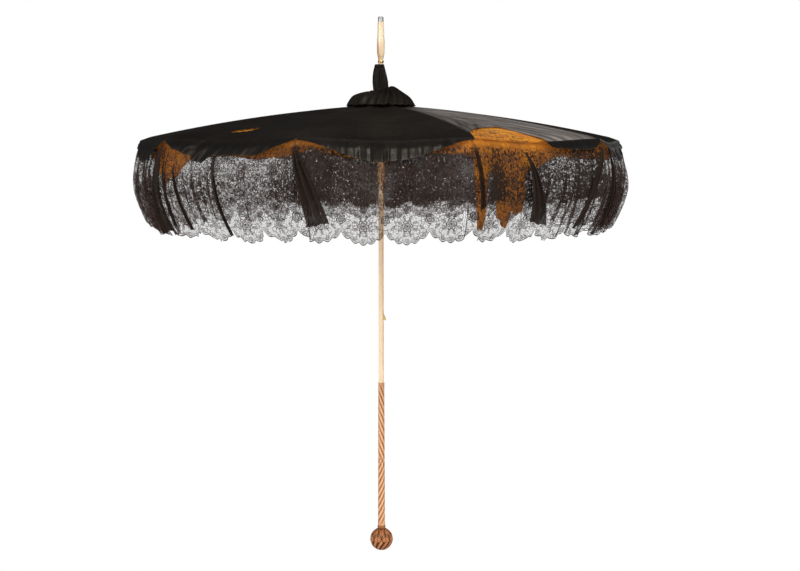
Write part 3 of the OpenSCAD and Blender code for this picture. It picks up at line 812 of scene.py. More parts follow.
rngp = np.random.default_rng(5)
PLEATS = {}
for g in range(1, N + 1):
    PLEATS[g] = {}
    for sd in (1, -1):
        a, b = rngp.uniform(0.36, 0.56), rngp.uniform(0.72, 0.86)
        PLEATS[g][sd] = [(0.13, 0.12, 2, 6, 2.0, 0.0), (a, 0.07, 1.0, 3, 1.5, rngp.uniform(-3, 3)), (b, 0.06, 1.0, 2.5, 1.3, rngp.uniform(-3, 3))]
PLEATS[8][1] = [(0.12, 0.10, 3, 6, 1.8, 3.0)]
PLEATS[8][-1] = [(0.09, 0.08, 2, 4, 1.8, 0.0)]
PLEATS[9][1] = [(0.10, 0.09, 3, 5, 2.0, 2.0), (0.36, 0.07, 2, 4, 1.6, 2.0)]
PLEATS[9][-1] = [(0.18, 0.13, 5, 12, 2.4, 8.0), (0.42, 0.08, 2, 6, 1.8, 4.0), (0.62, 0.06, 1, 4, 1.5, 2.0)]
PLEATS[7][1] = [(0.10, 0.10, 4, 8, 2.2, 3.0), (0.33, 0.07, 1, 3, 1.5, 4.0)]
PLEATS[10][1] = [(0.14, 0.12, 4, 9, 2.2, 0.0), (0.55, 0.08, 2, 5, 1.8, 2.0)]
PLEATS[6][-1] = [(0.14, 0.12, 4, 9, 2.2, 0.0), (0.50, 0.08, 2, 5, 1.8, 2.0)]
PLEATS[7][-1] = [(0.10, 0.10, 2, 4, 2.0, 0.0)]


DENSE = {g: [(0, 0.6), (1, 0.6)] for g in range(1, N + 1)}
DENSE[1] = [(0, 0.20), (0.3, 0.30), (1, 0.50)]
DENSE[2] = [(0, 0.55), (0.4, 0.75), (0.7, 0.92), (1, 0.95)]
DENSE[3] = [(0, 0.95), (1, 0.95)]
DENSE[4] = [(0, 0.90), (0.25, 0.72), (0.4, 0.28), (1, 0.20)]
DENSE[5] = [(0, 0.26), (1, 0.20)]
DENSE[6] = [(0, 0.2), (0.7, 0.26), (1, 0.24)]
DENSE[7] = [(0, 0.18), (0.12, 0.26), (0.3, 0.40), (0.45, 0.28), (0.75, 0.30), (0.85, 0.44), (1, 0.50)]
DENSE[8] = [(0, 0.52), (0.2, 0.46), (0.43, 0.48), (0.475, 0.06), (0.525, 0.06), (0.57, 0.46), (0.85, 0.44), (0.95, 0.34), (1, 0.24)]
DENSE[9] = [(0, 0.24), (0.09, 0.28), (0.12, 0.60), (0.17, 0.52), (0.2, 0.34), (0.36, 0.32), (0.42, 0.52), (0.5, 0.34), (0.7, 0.40), (0.8, 0.60), (1, 0.55)]
DENSE[10] = [(0, 0.24), (0.1, 0.26), (0.5, 0.2), (1, 0.2)]


STRIPS = [(10, 0.29, 0.33)]


def scallop(X):
    """Depth in mm of the lace's lower edge at X mm along the rim."""
    x = np.mod(X * WIDER, CELL) - CELL / 2
    he = 15.0 * (np.abs(x) / (CELL / 2)) ** 2.0
    lobe = LOBE * (1 - np.abs(np.cos(np.pi * x / (CELL / 5))))
    return DROP - he - lobe


def lace_piece(name, k, side):
    X = np.unique(np.concatenate([np.linspace(0, 172, 173), np.arange(0, 3) * CELL / WIDER]))
    T = np.concatenate([np.linspace(0, 0.88, 44), np.linspace(0.90, 1, 9)])
    bottom = scallop(np.clip(X, 0.0, 172))
    XX, TT = np.meshgrid(X, T, indexing="ij")
    YY = TT * bottom[:, None]
    P = lace_point(k, side, XX, YY)
    uv = np.stack([XX / 100, YY / 100], -1)
    g, _ = gore_of(k, side)
    u = s_in_gore(side, XX / 172.0)
    level = curve(DENSE[g], u) * (1 + 0.18 * noise1(u * 5 + g * 3, 801))
    if g == 7:
        level = level * (0.35 + 0.75 * smooth(YY, 34, 62))
    far = g in (1, 2, 3, 4, 5)
    if g == 9:
        level = level * (1 + 0.45 * smooth(YY, 35, 60))
    height = bottom[:, None] - YY
    dense = level * (smooth(height, 17, 23) if far else 1 - smooth(YY, DROP - 62, DROP - 50))
    for g2, s0, s1 in STRIPS:
        if g2 == g:
            dense = np.maximum(dense, 1.0 * ((u > s0) & (u < s1)) * (1 - smooth(YY, 112, 119)))
    piece = grid(name, P, uv=uv, attrs={"dense": np.clip(dense, 0, 1)}, flip=side < 0)
    paint(piece, LACE)
    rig.ride(piece, f"flounce_{k}_body")
    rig.slot(piece, "black_lace")
    return piece


TORN = [(0, 0.0), (0.02, 0.06), (0.05, 0.09), (0.145, 0.145), (0.3, 0.20), (0.45, 0.235), (0.52, 0.235), (0.545, 0.16), (0.56, 0.05), (0.57, 0.0), (1, 0.0)]


def tail_piece(name, k, side, w_top, w_bot, half_top, half_bot, v_top, v_bot, slant, folds, seed):
    """A bunched fold of lace that hangs outside the flounce and widens downwards. Widths in mm, depths in mm."""
    nq, nt = 41, 46
    q, t = np.linspace(-1, 1, nq), np.linspace(0, 1, nt)
    Q, T = np.meshgrid(q, t, indexing="ij")
    V = (v_top + (v_bot + slant * Q + 1.6 * noise1(Q * 4 + 9, seed) - v_top) * T) * mm
    wide = half_top + (half_bot - half_top) * T ** 0.95
    x = (w_top + (w_bot - w_top) * T) * L + Q * wide * mm
    fold = np.sin(np.pi * folds * Q + seed) + 0.4 * noise1(Q * 3 + T, seed + 1)
    o = bulge(V) + 0.0062 + 0.0024 * smooth(T, 0, 0.35) * fold - 0.003 * (1 - smooth(T, 0.0, 0.12))
    P = place(k, side, np.abs(x) / L, o, 0 * V)
    er, along, normal = half(k, side)
    P = P + (along * (np.minimum(x, 0) * 2)[..., None])
    P[..., 2] = rim_z(np.clip(np.abs(x) / L, 0, 1)) - V
    uv = np.stack([(Q * wide * 1.5 + 20 + seed) / 100, (V * 1000 * 0.5 + 4) / 100], -1)
    piece = grid(name, P, uv=uv, attrs={"dense": 1.12 + 0.14 * np.cos(np.pi * Q)}, flip=side < 0)
    paint(piece, LACE)
    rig.ride(piece, f"flounce_{k}_body")
    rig.slot(piece, "black_lace")
    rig.squash(piece, f"flounce_{k}_hang", axis=tuple(along), anchor=tuple(er * R + np.array([0, 0, float(S(R))])), keep=0.072)
    cloth.append((piece, "gathered", None, (f"lace_flounce_{k}{'a' if side > 0 else 'b'}",)))
    return piece


def cover_sector(name, k, lining):
    nr, na = (70, 61)
    rho = np.concatenate([np.linspace(0.0145, 0.10, 8, endpoint=False), np.linspace(0.10, 0.955, nr - 20, endpoint=False), np.linspace(0.955, 1.0, 12)])
    ph = np.linspace(-HALF, HALF, na)
    RH, PH = np.meshgrid(rho, ph, indexing="ij")
    rim = R * math.cos(HALF) / np.cos(HALF - np.abs(PH))
    xx = (math.sin(HALF) - math.cos(HALF) * np.tan(HALF - np.abs(PH))) * R
    w = xx / L
    r = RH * rim
    z = S(RH * R)
    slack = np.sin(np.clip(w, 0, 1) * np.pi / 2) ** 2
    z = z - 0.0045 * slack * RH ** 5 - 0.0016 * smooth(RH, 0.955, 1.0)
    z = z - 0.0042 * slack * np.sin(np.pi * np.clip(RH, 0, 1)) ** 1.2
    side = np.sign(PH)
    g = np.where(PH >= 0, k, (k - 2) % N + 1)
    s = np.where(PH >= 0, w / 2, 1 - w / 2)
    sg = s * 239 + g * 400
    # drawn folds that start at the rim and die out up the gore, and slack creases
    pull = smooth(RH, 0.80, 1.0) * smooth(w, 0.03, 0.25)
    fold = noise1(sg / 11.0, 401) + 0.5 * noise1(sg / 6.1, 402)
    z = z + 0.0019 * fold * pull * (1 - smooth(RH, 0.985, 1.0))
    crease = noise1(sg / 38.0 + RH * 2.0, 403) * noise1(RH * 6 + g * 3.1, 404)
    z = z + 0.0012 * crease * np.sin(np.pi * np.clip(RH, 0, 1)) * smooth(w, 0.0, 0.3)
    seam = np.exp(-(r * np.abs(PH) / 0.0016) ** 2)
    z = z + (0.0005 if not lining else 0) * seam * smooth(RH, 0.05, 0.2)
    z = z + 0.0016 * np.exp(-((RH * R - 0.030) / 0.02) ** 2) * np.cos(PH * N * 3) * (0 if lining else 1)
    if lining:
        z = z - 0.0019
        rim_in = 1 - 0.004
        r = r * rim_in
        keep_clear = np.exp(-(r * np.abs(PH) / 0.006) ** 2)
        z = z - 0.0000 * keep_clear
    a = rib_angle(k) + PH
    # painted sheen on gore 9's cover, fading out at its ribs and towards the crown
    worn = np.where(g == 9, smooth(w, 0.0, 0.10), 0.0) * smooth(RH, 0.12, 0.3)
    worn = worn * (0.55 + 0.45 * smooth(s, 0.15, 0.55))
    if not lining:
        torn = np.where(g == 9, curve(TORN, s), 0.0) + np.where(g == 9, 0.006 * noise1(s * 70, 902), 0) * (curve(TORN, s) > 0.01)
        grip = torn * smooth(RH, 0.62, 1.0)
        r2 = r * (1 - grip)
        z = z + (S(RH * R * (1 - grip)) - S(RH * R)) + 0.0022 * (grip > 0.02) * smooth(RH, 0.97, 1.0)
        r = r2
    P = np.stack([r * np.cos(a), r * np.sin(a), z], -1)
    uv = np.stack([r * PH, RH * R], -1)
    edge = 0.35 * seam
    if lining:
        P, uv, edge = P[8:], uv[8:], edge[8:]
    if lining:
        bits = np.where(g == 9, smooth(s, 0.0, 0.02) * (1 - smooth(s, 0.42, 0.5)), 0.0) * smooth(RH, 0.78, 0.84)
        piece = grid(name, P, uv=uv, attrs={"edge": edge, "worn": bits[8:]})
    else:
        faces = grid_faces(*P.shape[:2])
        if k == 7:
            mid = P.reshape(-1, 3)[faces].mean(1)
            az, rad = np.degrees(np.arctan2(mid[:, 1], mid[:, 0])) % 360, np.hypot(mid[:, 0], mid[:, 1])
            off = rad - (0.3086 - (az - 230.0) * 0.0056)
            faces = faces[~((np.abs(az - 230.0) < 1.9) & (np.abs(off) < 0.0115))]
        piece = quads(name, P.reshape(-1, 3), faces, uv, {"edge": edge, "worn": worn})
    paint(piece, AMBER if lining else SATIN)
    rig.ride(piece, f"rib_{k}_body")
    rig.slot(piece, "amber_silk" if lining else "black_satin")
    return piece


cloth = []
for k in range(1, N + 1):
    a = rib_angle(k)
    et = (-math.sin(a), math.cos(a), 0.0)
    centre = (0.2 * math.cos(a), 0.2 * math.sin(a), 0.7)
    satin = cover_sector(f"satin_gore_{k}", k, False)
    lining = cover_sector(f"lining_gore_{k}", k, True)
    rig.replaces(satin, f"cover_{k}")
    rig.replaces(lining, f"cover_{k}")
    for piece, keep in ((satin, 0.080), (lining, 0.074)):
        cloth.append((piece, "stretched", (0.40, 0.25), (f"rib_{k}",)))
        piece["squash"] = 0
        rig.squash(piece, f"rib_{k}_fold", axis=et, anchor=centre, keep=keep)
    for side, tag in ((1, "a"), (-1, "b")):
        er, along, normal = half(k, side)
        tip = tuple(er * R + np.array([0, 0, float(S(R))]))
        parts = [
            frill_piece(f"lining_frill_{k}{tag}", k, side, LINING_HEM, True, AMBER, 61, 1.2),
            lace_piece(f"lace_flounce_{k}{tag}", k, side),
        ]
        if (k, side) != (9, 1):          # the satin is torn away there
            parts.append(frill_piece(f"satin_frill_{k}{tag}", k, side, SATIN_HEM, False, FRILL, 11, 2.7))
        for piece in parts:
            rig.replaces(piece, f"flounce_{k}")
            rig.squash(piece, f"flounce_{k}_hang", axis=tuple(along), anchor=tip, keep=0.10)
        cloth.append((parts[0], "gathered", None, (f"lining_gore_{k}",)))
        cloth.append((parts[1], "gathered", (0.172, 0.142), (f"lining_gore_{k}",)))
        for piece in parts[2:]:
            cloth.append((piece, "gathered", None, (f"satin_gore_{k}",)))

# bunched folds that hang at the ribs and in the torn gore
tail_piece("lace_tail_1", 8, 1, 0.00, 0.25, 1.6, 14.6, 3, 116, -3, 2.6, 3)
tail_piece("lace_tail_2", 9, -1, 0.04, -0.06, 2.0, 4.2, 2, 96, 3, 1.0, 5)
tail_piece("lace_tail_3", 9, 1, 0.72, 0.93, 2.0, 16.0, 17, 115, 3, 2.2, 7)
tail_piece("lace_tail_4", 7, 1, 0.03, -0.03, 2.0, 12.5, 4, 134, -4, 2.4, 11)
tail_piece("lace_tail_5", 7, 1, 0.10, 0.15, 0.8, 1.5, 8, 124, 0, 1.0, 13)
tail_piece("lace_tail_6", 10, -1, 0.03, 0.40, 2.5, 6.0, 6, 125, 3, 2.2, 17)
tail_piece("lace_tail_7", 10, 1, 0.22, 0.26, 2.0, 4.0, 6, 124, -4, 2.0, 19)
tail_piece("lace_tail_8", 7, 1, 0.86, 1.04, 3.2, 2.4, 20, 130, 0, 1.0, 23)
tail_piece("lace_tail_9", 7, 1, 0.24, 0.42, 0.8, 1.4, 34, 128, 0, 1.0, 29)

# ---------------------------------------------------------------- rosette and neck sleeve
def lean(z):
    return -0.0022 * smooth(z, 0.748, 0.802)


def rosette():
    na, nr = 480, 46
    th = np.linspace(0, 2 * np.pi, na, endpoint=False)
    r_at = [0.0100, 0.0160, 0.0220, 0.0300, 0.0380, 0.0450, 0.0505, 0.0540]
    low = [0.7570, 0.7585, 0.7575, 0.7560, 0.7545, 0.7515, 0.7450, 0.7385]
    high = [0.7665, 0.7680, 0.7660, 0.7615, 0.7560, 0.7505, 0.7440, 0.7380]
    r = np.linspace(0.0100, 0.0540, nr)
    lo, hi = pchip(r_at, low, r), pchip(r_at, high, r)
    Rr, TH = np.meshgrid(r, th, indexing="ij")
    c = 0.5 + 0.5 * np.cos(TH - 0.3)
    z = lo[:, None] * (1 - c) + hi[:, None] * c
    turn = (Rr - 0.012) / 0.043
    deep = periodic(TH + 0.30 * turn, 9, 21)
    fold = periodic(TH + 0.42 * turn, 23, 22)
    fine = periodic(TH + 0.50 * turn, 47, 23)
    z = z + smooth(Rr, 0.011, 0.024) * (0.0020 * deep + 0.0019 * fold + 0.0007 * fine) * (1 - 0.35 * smooth(Rr, 0.045, 0.054))
    out = Rr * (1 + 0.030 * smooth(Rr, 0.03, 0.054) * (deep + 0.8 * fold))
    z = np.maximum(z, S(out) + 0.0009)
    P = [np.stack([out * np.cos(TH), out * np.sin(TH), z], -1)]
    edge = [np.clip(0.35 * fold, 0, 1) * smooth(Rr, 0.02, 0.05)]
    # the puff turns under at its outer edge
    for q, dz in ((0.995, 0.55), (0.975, 0.25), (0.94, 0.05)):
        o2 = out[-1] * q
        z2 = S(o2) + 0.0006 + (z[-1] - S(out[-1])) * dz
        P.append(np.stack([o2 * np.cos(th), o2 * np.sin(th), z2], -1)[None])
        edge.append(np.zeros((1, na)))
    P, E = np.concatenate(P), np.concatenate(edge)
    V, F, A = [P.reshape(-1, 3)], [grid_faces(*P.shape[:2], wrap_v=True)], [E.ravel()]
    off = len(V[0])
    # a short frill under the puff
    nk = 12
    t = np.linspace(0, 1, nk)
    T, TH = np.meshgrid(t, th, indexing="ij")
    wave = 0.6 * periodic(TH, 31, 31) + 0.6 * periodic(TH, 17, 32)
    rr = 0.044 + (0.0118 + 0.0016 * periodic(TH, 11, 33)) * T
    z = S(rr) + 0.0010 + smooth(T, 0.2, 1.0) * 0.0018 * (1 + wave)
    V.append(np.stack([rr * np.cos(TH), rr * np.sin(TH), z], -1).reshape(-1, 3))
    F.append(grid_faces(nk, na, wrap_v=True) + off)
    A.append(smooth(T, 0.9, 1.0).ravel())
    V, F, A = np.concatenate(V), np.concatenate(F), np.concatenate(A)
    o = quads("rosette_ruffles", V, F, uv=np.stack([np.arctan2(V[:, 1], V[:, 0]) * 0.05, np.hypot(V[:, 0], V[:, 1])], -1), attrs={"edge": A})
    paint(o, SATIN)
    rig.ride(o, "stick_body")
    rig.replaces(o, "rosette")
    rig.slot(o, "black_satin")
    return o


def periodic(theta, n, seed):
    """Irregular folds round a circle: n of them, the same at both ends."""
    rng = np.random.default_rng(seed)
    a = rng.uniform(0, 2 * np.pi, 5)
    th = np.asarray(theta, float)
    warp = 0.9 * np.sin(2 * th + a[0]) + 0.7 * np.sin(3 * th + a[1]) + 0.5 * np.sin(5 * th + a[2])
    size = 1 + 0.35 * np.sin(2 * th + a[3]) + 0.25 * np.sin(7 * th + a[4])
    return np.sin(n * th + warp) * size / 1.3


def sleeve():
    zs = np.linspace(0.7405, 0.8035, 64)
    base = pchip([0.7405, 0.750, 0.762, 0.773, 0.783, 0.795, 0.8005, 0.8035], [0.0102, 0.0108, 0.0118, 0.0120, 0.0110, 0.0092, 0.0080, 0.0074], zs)
    th = np.linspace(0, 2 * np.pi, 220, endpoint=False)
    Z, TH = np.meshgrid(zs, th, indexing="ij")
    wave = periodic(TH + 5 * (Z - 0.77), 8, 41) * 0.75 + 0.35 * periodic(TH - 4 * (Z - 0.77), 15, 42)
    amp = 0.0014 * smooth(0.8040 - Z, 0.0, 0.020) + 0.0003
    rr = base[:, None] + amp * wave
    tie = np.exp(-((Z - 0.7995) / 0.0014) ** 2)
    rr = np.maximum(rr - 0.0006 * tie, 0.0066)
    P = np.stack([rr * np.cos(TH) + lean(Z), rr * np.sin(TH), Z], -1)
    # a turned-in top edge
    lip = P[-1:].copy()
    lip[..., 0] = 0.0046 * np.cos(th)
    lip[..., 1] = 0.0046 * np.sin(th)
    lip[..., 2] -= 0.0004
    P = np.concatenate([P, lip])
    uv = np.stack([np.concatenate([TH, TH[-1:]]) * 0.012, P[..., 2]], -1)
    o = grid("sleeve_gathers", P, uv=uv, attrs={"edge": np.zeros(P.shape[:2])}, wrap_v=True)
    o.data.flip_normals()
    paint(o, SATIN)
    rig.ride(o, "stick_body")
    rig.replaces(o, "neck_sleeve")
    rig.slot(o, "black_satin")
    # the thread that ties it
    ring = []
    for jj in range(3):
        zc = 0.7988 + jj * 0.0006
        tt = np.linspace(0, 2 * np.pi, 12, endpoint=False)
        A, B = np.meshgrid(np.linspace(0, 2 * np.pi, 96, endpoint=False), tt, indexing="ij")
        q = 0.0083 + 0.00035 * np.cos(B)
        ring.append(np.stack([q * np.cos(A) + float(lean(zc)), q * np.sin(A), zc + 0.00035 * np.sin(B)], -1))
    V = np.concatenate([p.reshape(-1, 3) for p in ring])
    F = np.concatenate([grid_faces(96, 12, True, True) + n * 96 * 12 for n in range(3)])
    c = quads("sleeve_thread", V, F, uv=V[:, :2], attrs={"edge": np.zeros(len(V))})
    paint(c, GIMP)
    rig.ride(c, "stick_body")
    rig.slot(c, "black_satin")
    return o


rosette_piece, sleeve_piece = rosette(), sleeve()

# ---------------------------------------------------------------- turned and carved parts
def turned_end(zs, rs, first=True):
    return np.stack([zs, rs], -1)


def ferrule_piece():
    zk = [0.80405, 0.8070, 0.8120, 0.8170, 0.8230, 0.8300, 0.8400, 0.8500, 0.8580, 0.8640, 0.8708]
    rk = [0.0039, 0.0040, 0.0042, 0.0053, 0.00605, 0.0062, 0.00615, 0.0057, 0.0053, 0.0051, 0.0050]
    z = np.linspace(zk[0], zk[-1], 130)
    r = pchip(zk, rk, z)
    for zc in (0.8148, 0.8606):
        r = r - 0.00022 * np.exp(-((z - zc) / 0.0005) ** 2)
    prof = np.concatenate([[[zk[0], 0.0031]], np.stack([z, r], -1), [[0.8710, 0.0046], [0.8710, 0.0002]]])

    def shape(T, Z, Rr):
        # painted shadow down the left front side of the ferrule, fading out above its middle, and painted shade in a
        # thin ring at the lower groove
        st = smooth(np.cos(T - math.radians(215)), 0.2, 1.0) * (1 - smooth(Z, 0.826, 0.848)) * 0.9
        st = np.maximum(st, 0.5 * np.exp(-((Z - 0.8148) / 0.0008) ** 2))
        return Rr, {"stain": st}

    o = lathe("ferrule_turned", prof, 96, shape)
    paint(o, BONE)
    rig.ride(o, "stick_body")
    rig.replaces(o, "ferrule")
    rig.slot(o, "bone")


ferrule_piece()


def handle_piece():
    z0, z1, zx = 0.0426, 0.284, 0.153
    z = np.concatenate([np.linspace(z0, z0 + 0.004, 8, endpoint=False), np.linspace(z0 + 0.004, z1 - 0.004, 620, endpoint=False), np.linspace(z1 - 0.004, z1, 10)])
    r = 0.0058 + (0.0050 - 0.0058) * (z - z0) / (z1 - z0)
    prof = np.stack([z, r], -1)
    prof = np.concatenate([[[z0, 0.0027]], prof, [[z1, 0.00405]]])

    def shape(T, Z, Rr):
        n = 5
        up = T * n + 2 * np.pi * n * (Z - zx) / 0.0735      # leans one way above the crossing
        dn = T * n - 2 * np.pi * n * (Z - zx) / 0.0640      # and the other way below it
        g_up, g_dn = np.cos(up), np.cos(dn)
        mixw = smooth(Z, zx - 0.012, zx + 0.012)
        flute = lambda c: np.clip((c - 0.25) / 0.75, 0, 1) ** 1.2
        ridge = lambda c: np.clip((-c - 0.35) / 0.65, 0, 1)
        both = np.maximum(flute(g_up), flute(g_dn)) * 0.8
        cross = np.exp(-((Z - zx) / 0.011) ** 2)
        f = flute(g_up) * mixw + flute(g_dn) * (1 - mixw)
        f = f * (1 - cross) + both * cross
        rd = ridge(g_up) * mixw + ridge(g_dn) * (1 - mixw)
        ends = smooth(Z, z0 + 0.001, z0 + 0.008) * (1 - smooth(Z, z1 - 0.009, z1 - 0.002))
        dep = 0.00085 * f * ends
        bead = 0.00035 * np.exp(-((Z - (z0 + 0.0022)) / 0.0012) ** 2) + 0.0002 * np.exp(-((Z - (z1 - 0.0022)) / 0.0009) ** 2)
        out = np.where(Rr > 0.0042, Rr - dep + bead, Rr)
        # groove carries painted shade down the flutes, ridge carries painted highlight along the lands between them
        return out, {"groove": f * ends, "ridge": rd * ends}

    o = lathe("handle_fluted", prof, 120, shape)
    paint(o, FLUTED)
    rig.ride(o, "stick_body")
    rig.replaces(o, "handle")
    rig.slot(o, "fluted_wood")


handle_piece()


def knob_piece():
    Rk, zc = 0.0190, 0.0192
    na, nb = 300, 220
    ph = np.linspace(0.002, np.pi - 0.30, nb)          # from the bottom pole up to the neck
    th = np.linspace(0, 2 * np.pi, na, endpoint=False)
    PH, TH = np.meshgrid(ph, th, indexing="ij")
    lat = -np.cos(PH)                                    # -1 at the bottom, +1 at the top
    # swirled flutes on the lower half
    n = 12
    sw = np.cos(n * TH - 7.0 * (PH - 0.2))
    lower = (1 - smooth(lat, -0.10, 0.06)) * smooth(PH, 0.12, 0.45)
    d_low = -0.0015 * np.clip((sw - 0.1) / 0.9, 0, 1) ** 1.1 * lower
    # the swirled flutes' hollows take painted shade and their crests painted highlight
    g_low = smooth(sw, 0.05, 0.60) * lower
    r_low = np.clip((-sw - 0.3) / 0.7, 0, 1) * lower
    # leaves on the upper half: overlapping pointed lobes in two rows
    def leaves(count, lat0, lat1, phase, depth):
        u = np.mod(TH / (2 * np.pi) * count + phase, 1) - 0.5
        v = (lat - lat0) / (lat1 - lat0)
        half_w = 0.47 * np.sin(np.pi * np.clip(v * 0.86 + 0.10, 0, 1)) ** 0.7
        inside = smooth(half_w - np.abs(u), -0.02, 0.05) * ((v > 0) & (v < 1))
        rim = np.exp(-((np.abs(u) - half_w) / 0.05) ** 2) * ((v > -0.05) & (v < 1.05))
        mid = np.exp(-(u / 0.035) ** 2) * inside
        vein = inside * (0.5 + 0.5 * np.cos(26 * (v - 1.1 * np.abs(u)))) ** 3
        return inside * depth * (1 - 1.4 * u * u), rim, mid, vein
    a1, rim1, mid1, vein1 = leaves(8, -0.08, 0.62, 0.0, 0.0010)
    a2, rim2, mid2, vein2 = leaves(8, 0.30, 0.93, 0.5, 0.0009)
    upper = smooth(lat, -0.08, 0.02)
    d_up = (1.3 * np.maximum(a1, a2) - 0.0010 - 0.0005 * np.maximum(mid1, mid2) - 0.00028 * np.maximum(vein1, vein2)) * upper
    band = np.exp(-((lat + 0.05) / 0.035) ** 2)
    bead = band * (0.0005 + 0.0005 * np.cos(30 * TH))
    # the leaves' outlines, midribs and veins take painted shade; the raised leaves and the band's beads take painted
    # highlight
    g_up = np.clip(1.25 * np.maximum(np.maximum(rim1, rim2), np.maximum(mid1, mid2)) + 0.55 * np.maximum(vein1, vein2), 0, 1) * upper
    r_up = np.clip((np.maximum(a1, a2) / 0.0010 - 0.55) / 0.45, 0, 1) * upper * (1 - g_up)
    rad = Rk + d_low + d_up + bead - 0.0002
    rr, z = rad * np.sin(PH), zc - rad * np.cos(PH)
    z = np.maximum(z, 0.0)
    P = np.stack([rr * np.cos(TH), rr * np.sin(TH), z], -1)
    neck = []
    for zz, q in ((0.0368, 0.0062), (0.0372, 0.0058), (0.0380, 0.0061), (0.0390, 0.0066), (0.03995, 0.0066), (0.03995, 0.0027)):
        neck.append(np.stack([q * np.cos(th), q * np.sin(th), np.full(na, zz)], -1)[None])
    P = np.concatenate([P] + neck)
    # the neck rings take painted shade, darkest at the narrowest ring
    groove = np.concatenate([np.maximum(g_low, g_up), np.repeat([[0.8], [1.0], [0.6], [0.1], [0.1], [0.5]], na, 1)])
    ridge = np.concatenate([np.maximum(r_low, r_up) + 0.5 * band * np.clip(np.cos(30 * TH), 0, 1), np.zeros((6, na))])
    # close the bottom pole with a tiny disc by collapsing the first ring
    P[0, :, 0] = P[0, :, 0].mean() + (P[0, :, 0] - P[0, :, 0].mean()) * 0.02
    P[0, :, 1] = P[0, :, 1].mean() + (P[0, :, 1] - P[0, :, 1].mean()) * 0.02
    o = grid("knob_carved", P, attrs={"groove": groove, "ridge": np.clip(ridge, 0, 1)}, wrap_v=True, flip=True)
    paint(o, CARVED)
    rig.ride(o, "stick_body")
    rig.replaces(o, "knob")
    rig.slot(o, "carved_wood")


knob_piece()

# ---------------------------------------------------------------- brass tips over the ribs' ends
def rib_tip(k):
    xs = np.array([-4.15, -4.15, -3.6, -3.2, 1.5, 2.6, 3.2, 3.7, 4.3, 5.0, 5.7, 6.4, 7.0, 7.36])
    rs = np.array([1.2, 2.2, 2.42, 2.18, 2.16, 2.16, 1.85, 2.05, 2.30, 2.38, 2.28, 1.92, 1.25, 0.02])
    th = np.linspace(0, 2 * np.pi, 28, endpoint=False)
    X, TH = np.meshgrid(xs, th, indexing="ij")
    Rr = rs[:, None] + 0 * TH
    local = np.stack([X, Rr * np.cos(TH), Rr * np.sin(TH)], -1) * mm
    mid = 0.3775
    slope = math.atan(-0.055 - 0.45 * mid)
    cs, sn = math.cos(slope), math.sin(slope)
    x = mid + local[..., 0] * cs - local[..., 2] * sn
    z = float(S(mid)) - 0.0038 + local[..., 0] * sn + local[..., 2] * cs
    y = local[..., 1]
    a = rib_angle(k)
    P = np.stack([x * math.cos(a) - y * math.sin(a), x * math.sin(a) + y * math.cos(a), z], -1)
    o = grid(f"rib_tip_{k}", P, wrap_v=True)
    paint(o, BRASS)
    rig.ride(o, f"rib_{k}_body")
    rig.slot(o, "brass")


for k in range(1, N + 1):
    rib_tip(k)

# ---------------------------------------------------------------- materials of the CAD nodes that stay
nodes = {o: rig.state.nodes[o] for o in frame["nodes"]} if hasattr(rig, "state") else {}


def finish_node(name, mat):
    o = bpy.data.objects.get(name) or nodes.get(name)
    if o is None:
        return
    if not o.material_slots:
        o.data.materials.append(mat)
    for s in o.material_slots:
        s.material = mat


for name, mat in {"stick": PALE, "knob_collar": CARVED, "ferrule_cap": CAP, "ferrule_ring": BRASS, "top_notch": BRASS, "notch_wire": BRIGHT,
                  "stop_pin": BRIGHT, "runner": WARM, "runner_wire": BRIGHT, "top_spring": DARK, "bottom_spring": BRASS}.items():
    finish_node(name, mat)
for k in range(1, N + 1):
    finish_node(f"rib_{k}", DARK)
    finish_node(f"stretcher_{k}", DARK)

for piece, held, flat, on in cloth:
    area = area_of(piece)
    if flat is None:
        width = 0.172 if "satin" in piece.name else 0.150 if "lining" in piece.name else max(0.02, area / 0.112)
        flat = (width, area / width) if area / width > 0.0105 else (0.12, 0.0105)
    if flat[0] * flat[1] * 1.0 < area:
        sheet_area = None
    else:
        sheet_area = area
    if sheet_area is not None and not 0.3 * flat[0] * flat[1] <= sheet_area <= flat[0] * flat[1]:
        sheet_area = None
    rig.sheet(piece, flat=flat, held=held, rests_on=list(on), area=sheet_area)

# ---------------------------------------------------------------- floor, light, camera
floor_mesh = bpy.data.meshes.new("floor")
floor_mesh.from_pydata([(-30, -30, -0.0004), (30, -30, -0.0004), (30, 30, -0.0004), (-30, 30, -0.0004)], [], [(0, 1, 2, 3)])
floor = bpy.data.objects.new("floor", floor_mesh)
bpy.context.scene.collection.objects.link(floor)
tf = Tree("floor_white")
tf.bsdf.inputs["Base Color"].default_value = (0.86, 0.86, 0.86, 1)
tf.bsdf.inputs["Roughness"].default_value = 0.9
glow = tf.nodes.new("ShaderNodeEmission")
glow.inputs[0].default_value, glow.inputs[1].default_value = (1, 1, 1, 1), 1.0
seen = tf.nodes.new("ShaderNodeLightPath")
mixed = tf.nodes.new("ShaderNodeMixShader")
tf.links.new(seen.outputs["Is Camera Ray"], mixed.inputs[0])
tf.links.new(tf.bsdf.outputs[0], mixed.inputs[1])
tf.links.new(glow.outputs[0], mixed.inputs[2])
under = tf.nodes.new("ShaderNodeNewGeometry")
clear = tf.nodes.new("ShaderNodeBsdfTransparent")
sides = tf.nodes.new("ShaderNodeMixShader")
tf.links.new(under.outputs["Backfacing"], sides.inputs[0])
tf.links.new(mixed.outputs[0], sides.inputs[1])
tf.links.new(clear.outputs[0], sides.inputs[2])
tf.links.new(sides.outputs[0], tf.out.inputs["Surface"])
paint(floor, tf.mat)
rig.stage(floor)

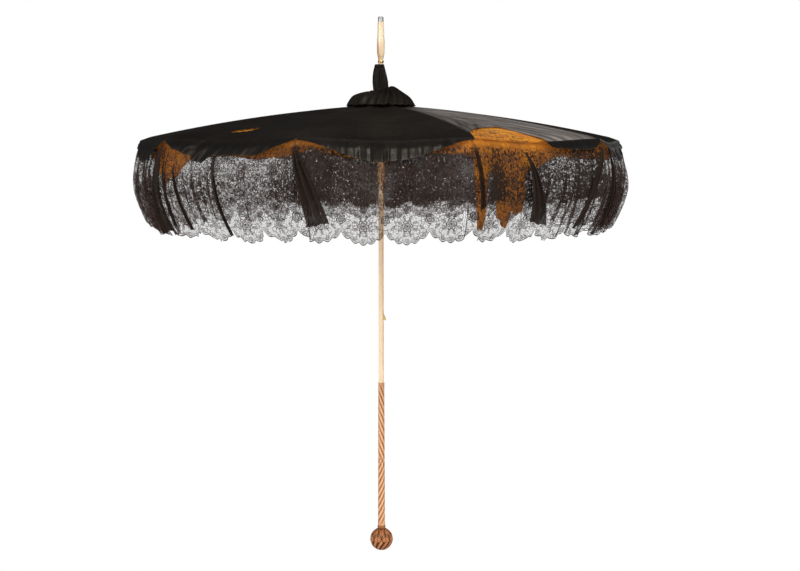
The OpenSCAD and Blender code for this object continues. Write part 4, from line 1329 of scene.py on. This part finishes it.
world = bpy.data.worlds.new("white")
bpy.context.scene.world = world
world.use_nodes = True
wn, wl = world.node_tree.nodes, world.node_tree.links
plain = wn["Background"]
plain.inputs[0].default_value, plain.inputs[1].default_value = (1, 1, 1, 1), 1.0
lit = wn.new("ShaderNodeBackground")
lit.inputs[0].default_value = (1, 1, 1, 1)
where = wn.new("ShaderNodeTexCoord")
part = wn.new("ShaderNodeSeparateXYZ")
wl.new(where.outputs["Generated"], part.inputs[0])
fade = wn.new("ShaderNodeMapRange")
fade.inputs["From Min"].default_value, fade.inputs["From Max"].default_value = 0.9, -0.6
fade.inputs["To Min"].default_value, fade.inputs["To Max"].default_value = 0.05, 1.10
high = wn.new("ShaderNodeMath")
high.operation = "MULTIPLY_ADD"
wl.new(part.outputs[2], high.inputs[0])
high.inputs[1].default_value = 0.45
wl.new(part.outputs[1], high.inputs[2])
wl.new(high.outputs[0], fade.inputs["Value"])
wl.new(fade.outputs[0], lit.inputs[1])
path = wn.new("ShaderNodeLightPath")
both = wn.new("ShaderNodeMixShader")
wl.new(path.outputs["Is Camera Ray"], both.inputs[0])
wl.new(lit.outputs[0], both.inputs[1])
wl.new(plain.outputs[0], both.inputs[2])
wl.new(both.outputs[0], wn["World Output"].inputs["Surface"])


def area_light(name, at, aim, size, power, colour=(1, 1, 1)):
    d = bpy.data.lights.new(name, "AREA")
    d.shape, d.size, d.energy, d.color = "DISK", size, power, colour
    o = bpy.data.objects.new(name, d)
    o.location = at
    o.rotation_euler = (Vector(aim) - Vector(at)).to_track_quat("-Z", "Y").to_euler()
    bpy.context.scene.collection.objects.link(o)


area_light("key", (0.7, -1.8, 1.9), (0, 0, 0.62), 0.6, 33)
area_light("fill", (-1.4, -1.8, 0.9), (0, 0, 0.45), 1.0, 18)
area_light("back", (1.5, 1.7, 0.98), (0.2, 0, 0.68), 0.5, 1.2)

cam_data = bpy.data.cameras.new("camera")
cam_data.sensor_width, cam_data.lens = 36, 57.9
cam = bpy.data.objects.new("camera", cam_data)
AROUND = math.radians(-90.89)
cam.location = (2.1 * math.cos(AROUND), 2.1 * math.sin(AROUND), 0.6617)
cam.rotation_euler = (math.pi / 2 - math.radians(5.885), 0, AROUND + math.pi / 2 - math.radians(0.843))
bpy.context.scene.collection.objects.link(cam)
bpy.context.scene.camera = cam
bpy.context.scene.view_settings.view_transform = "Standard"
bpy.context.scene.view_settings.look = "None"
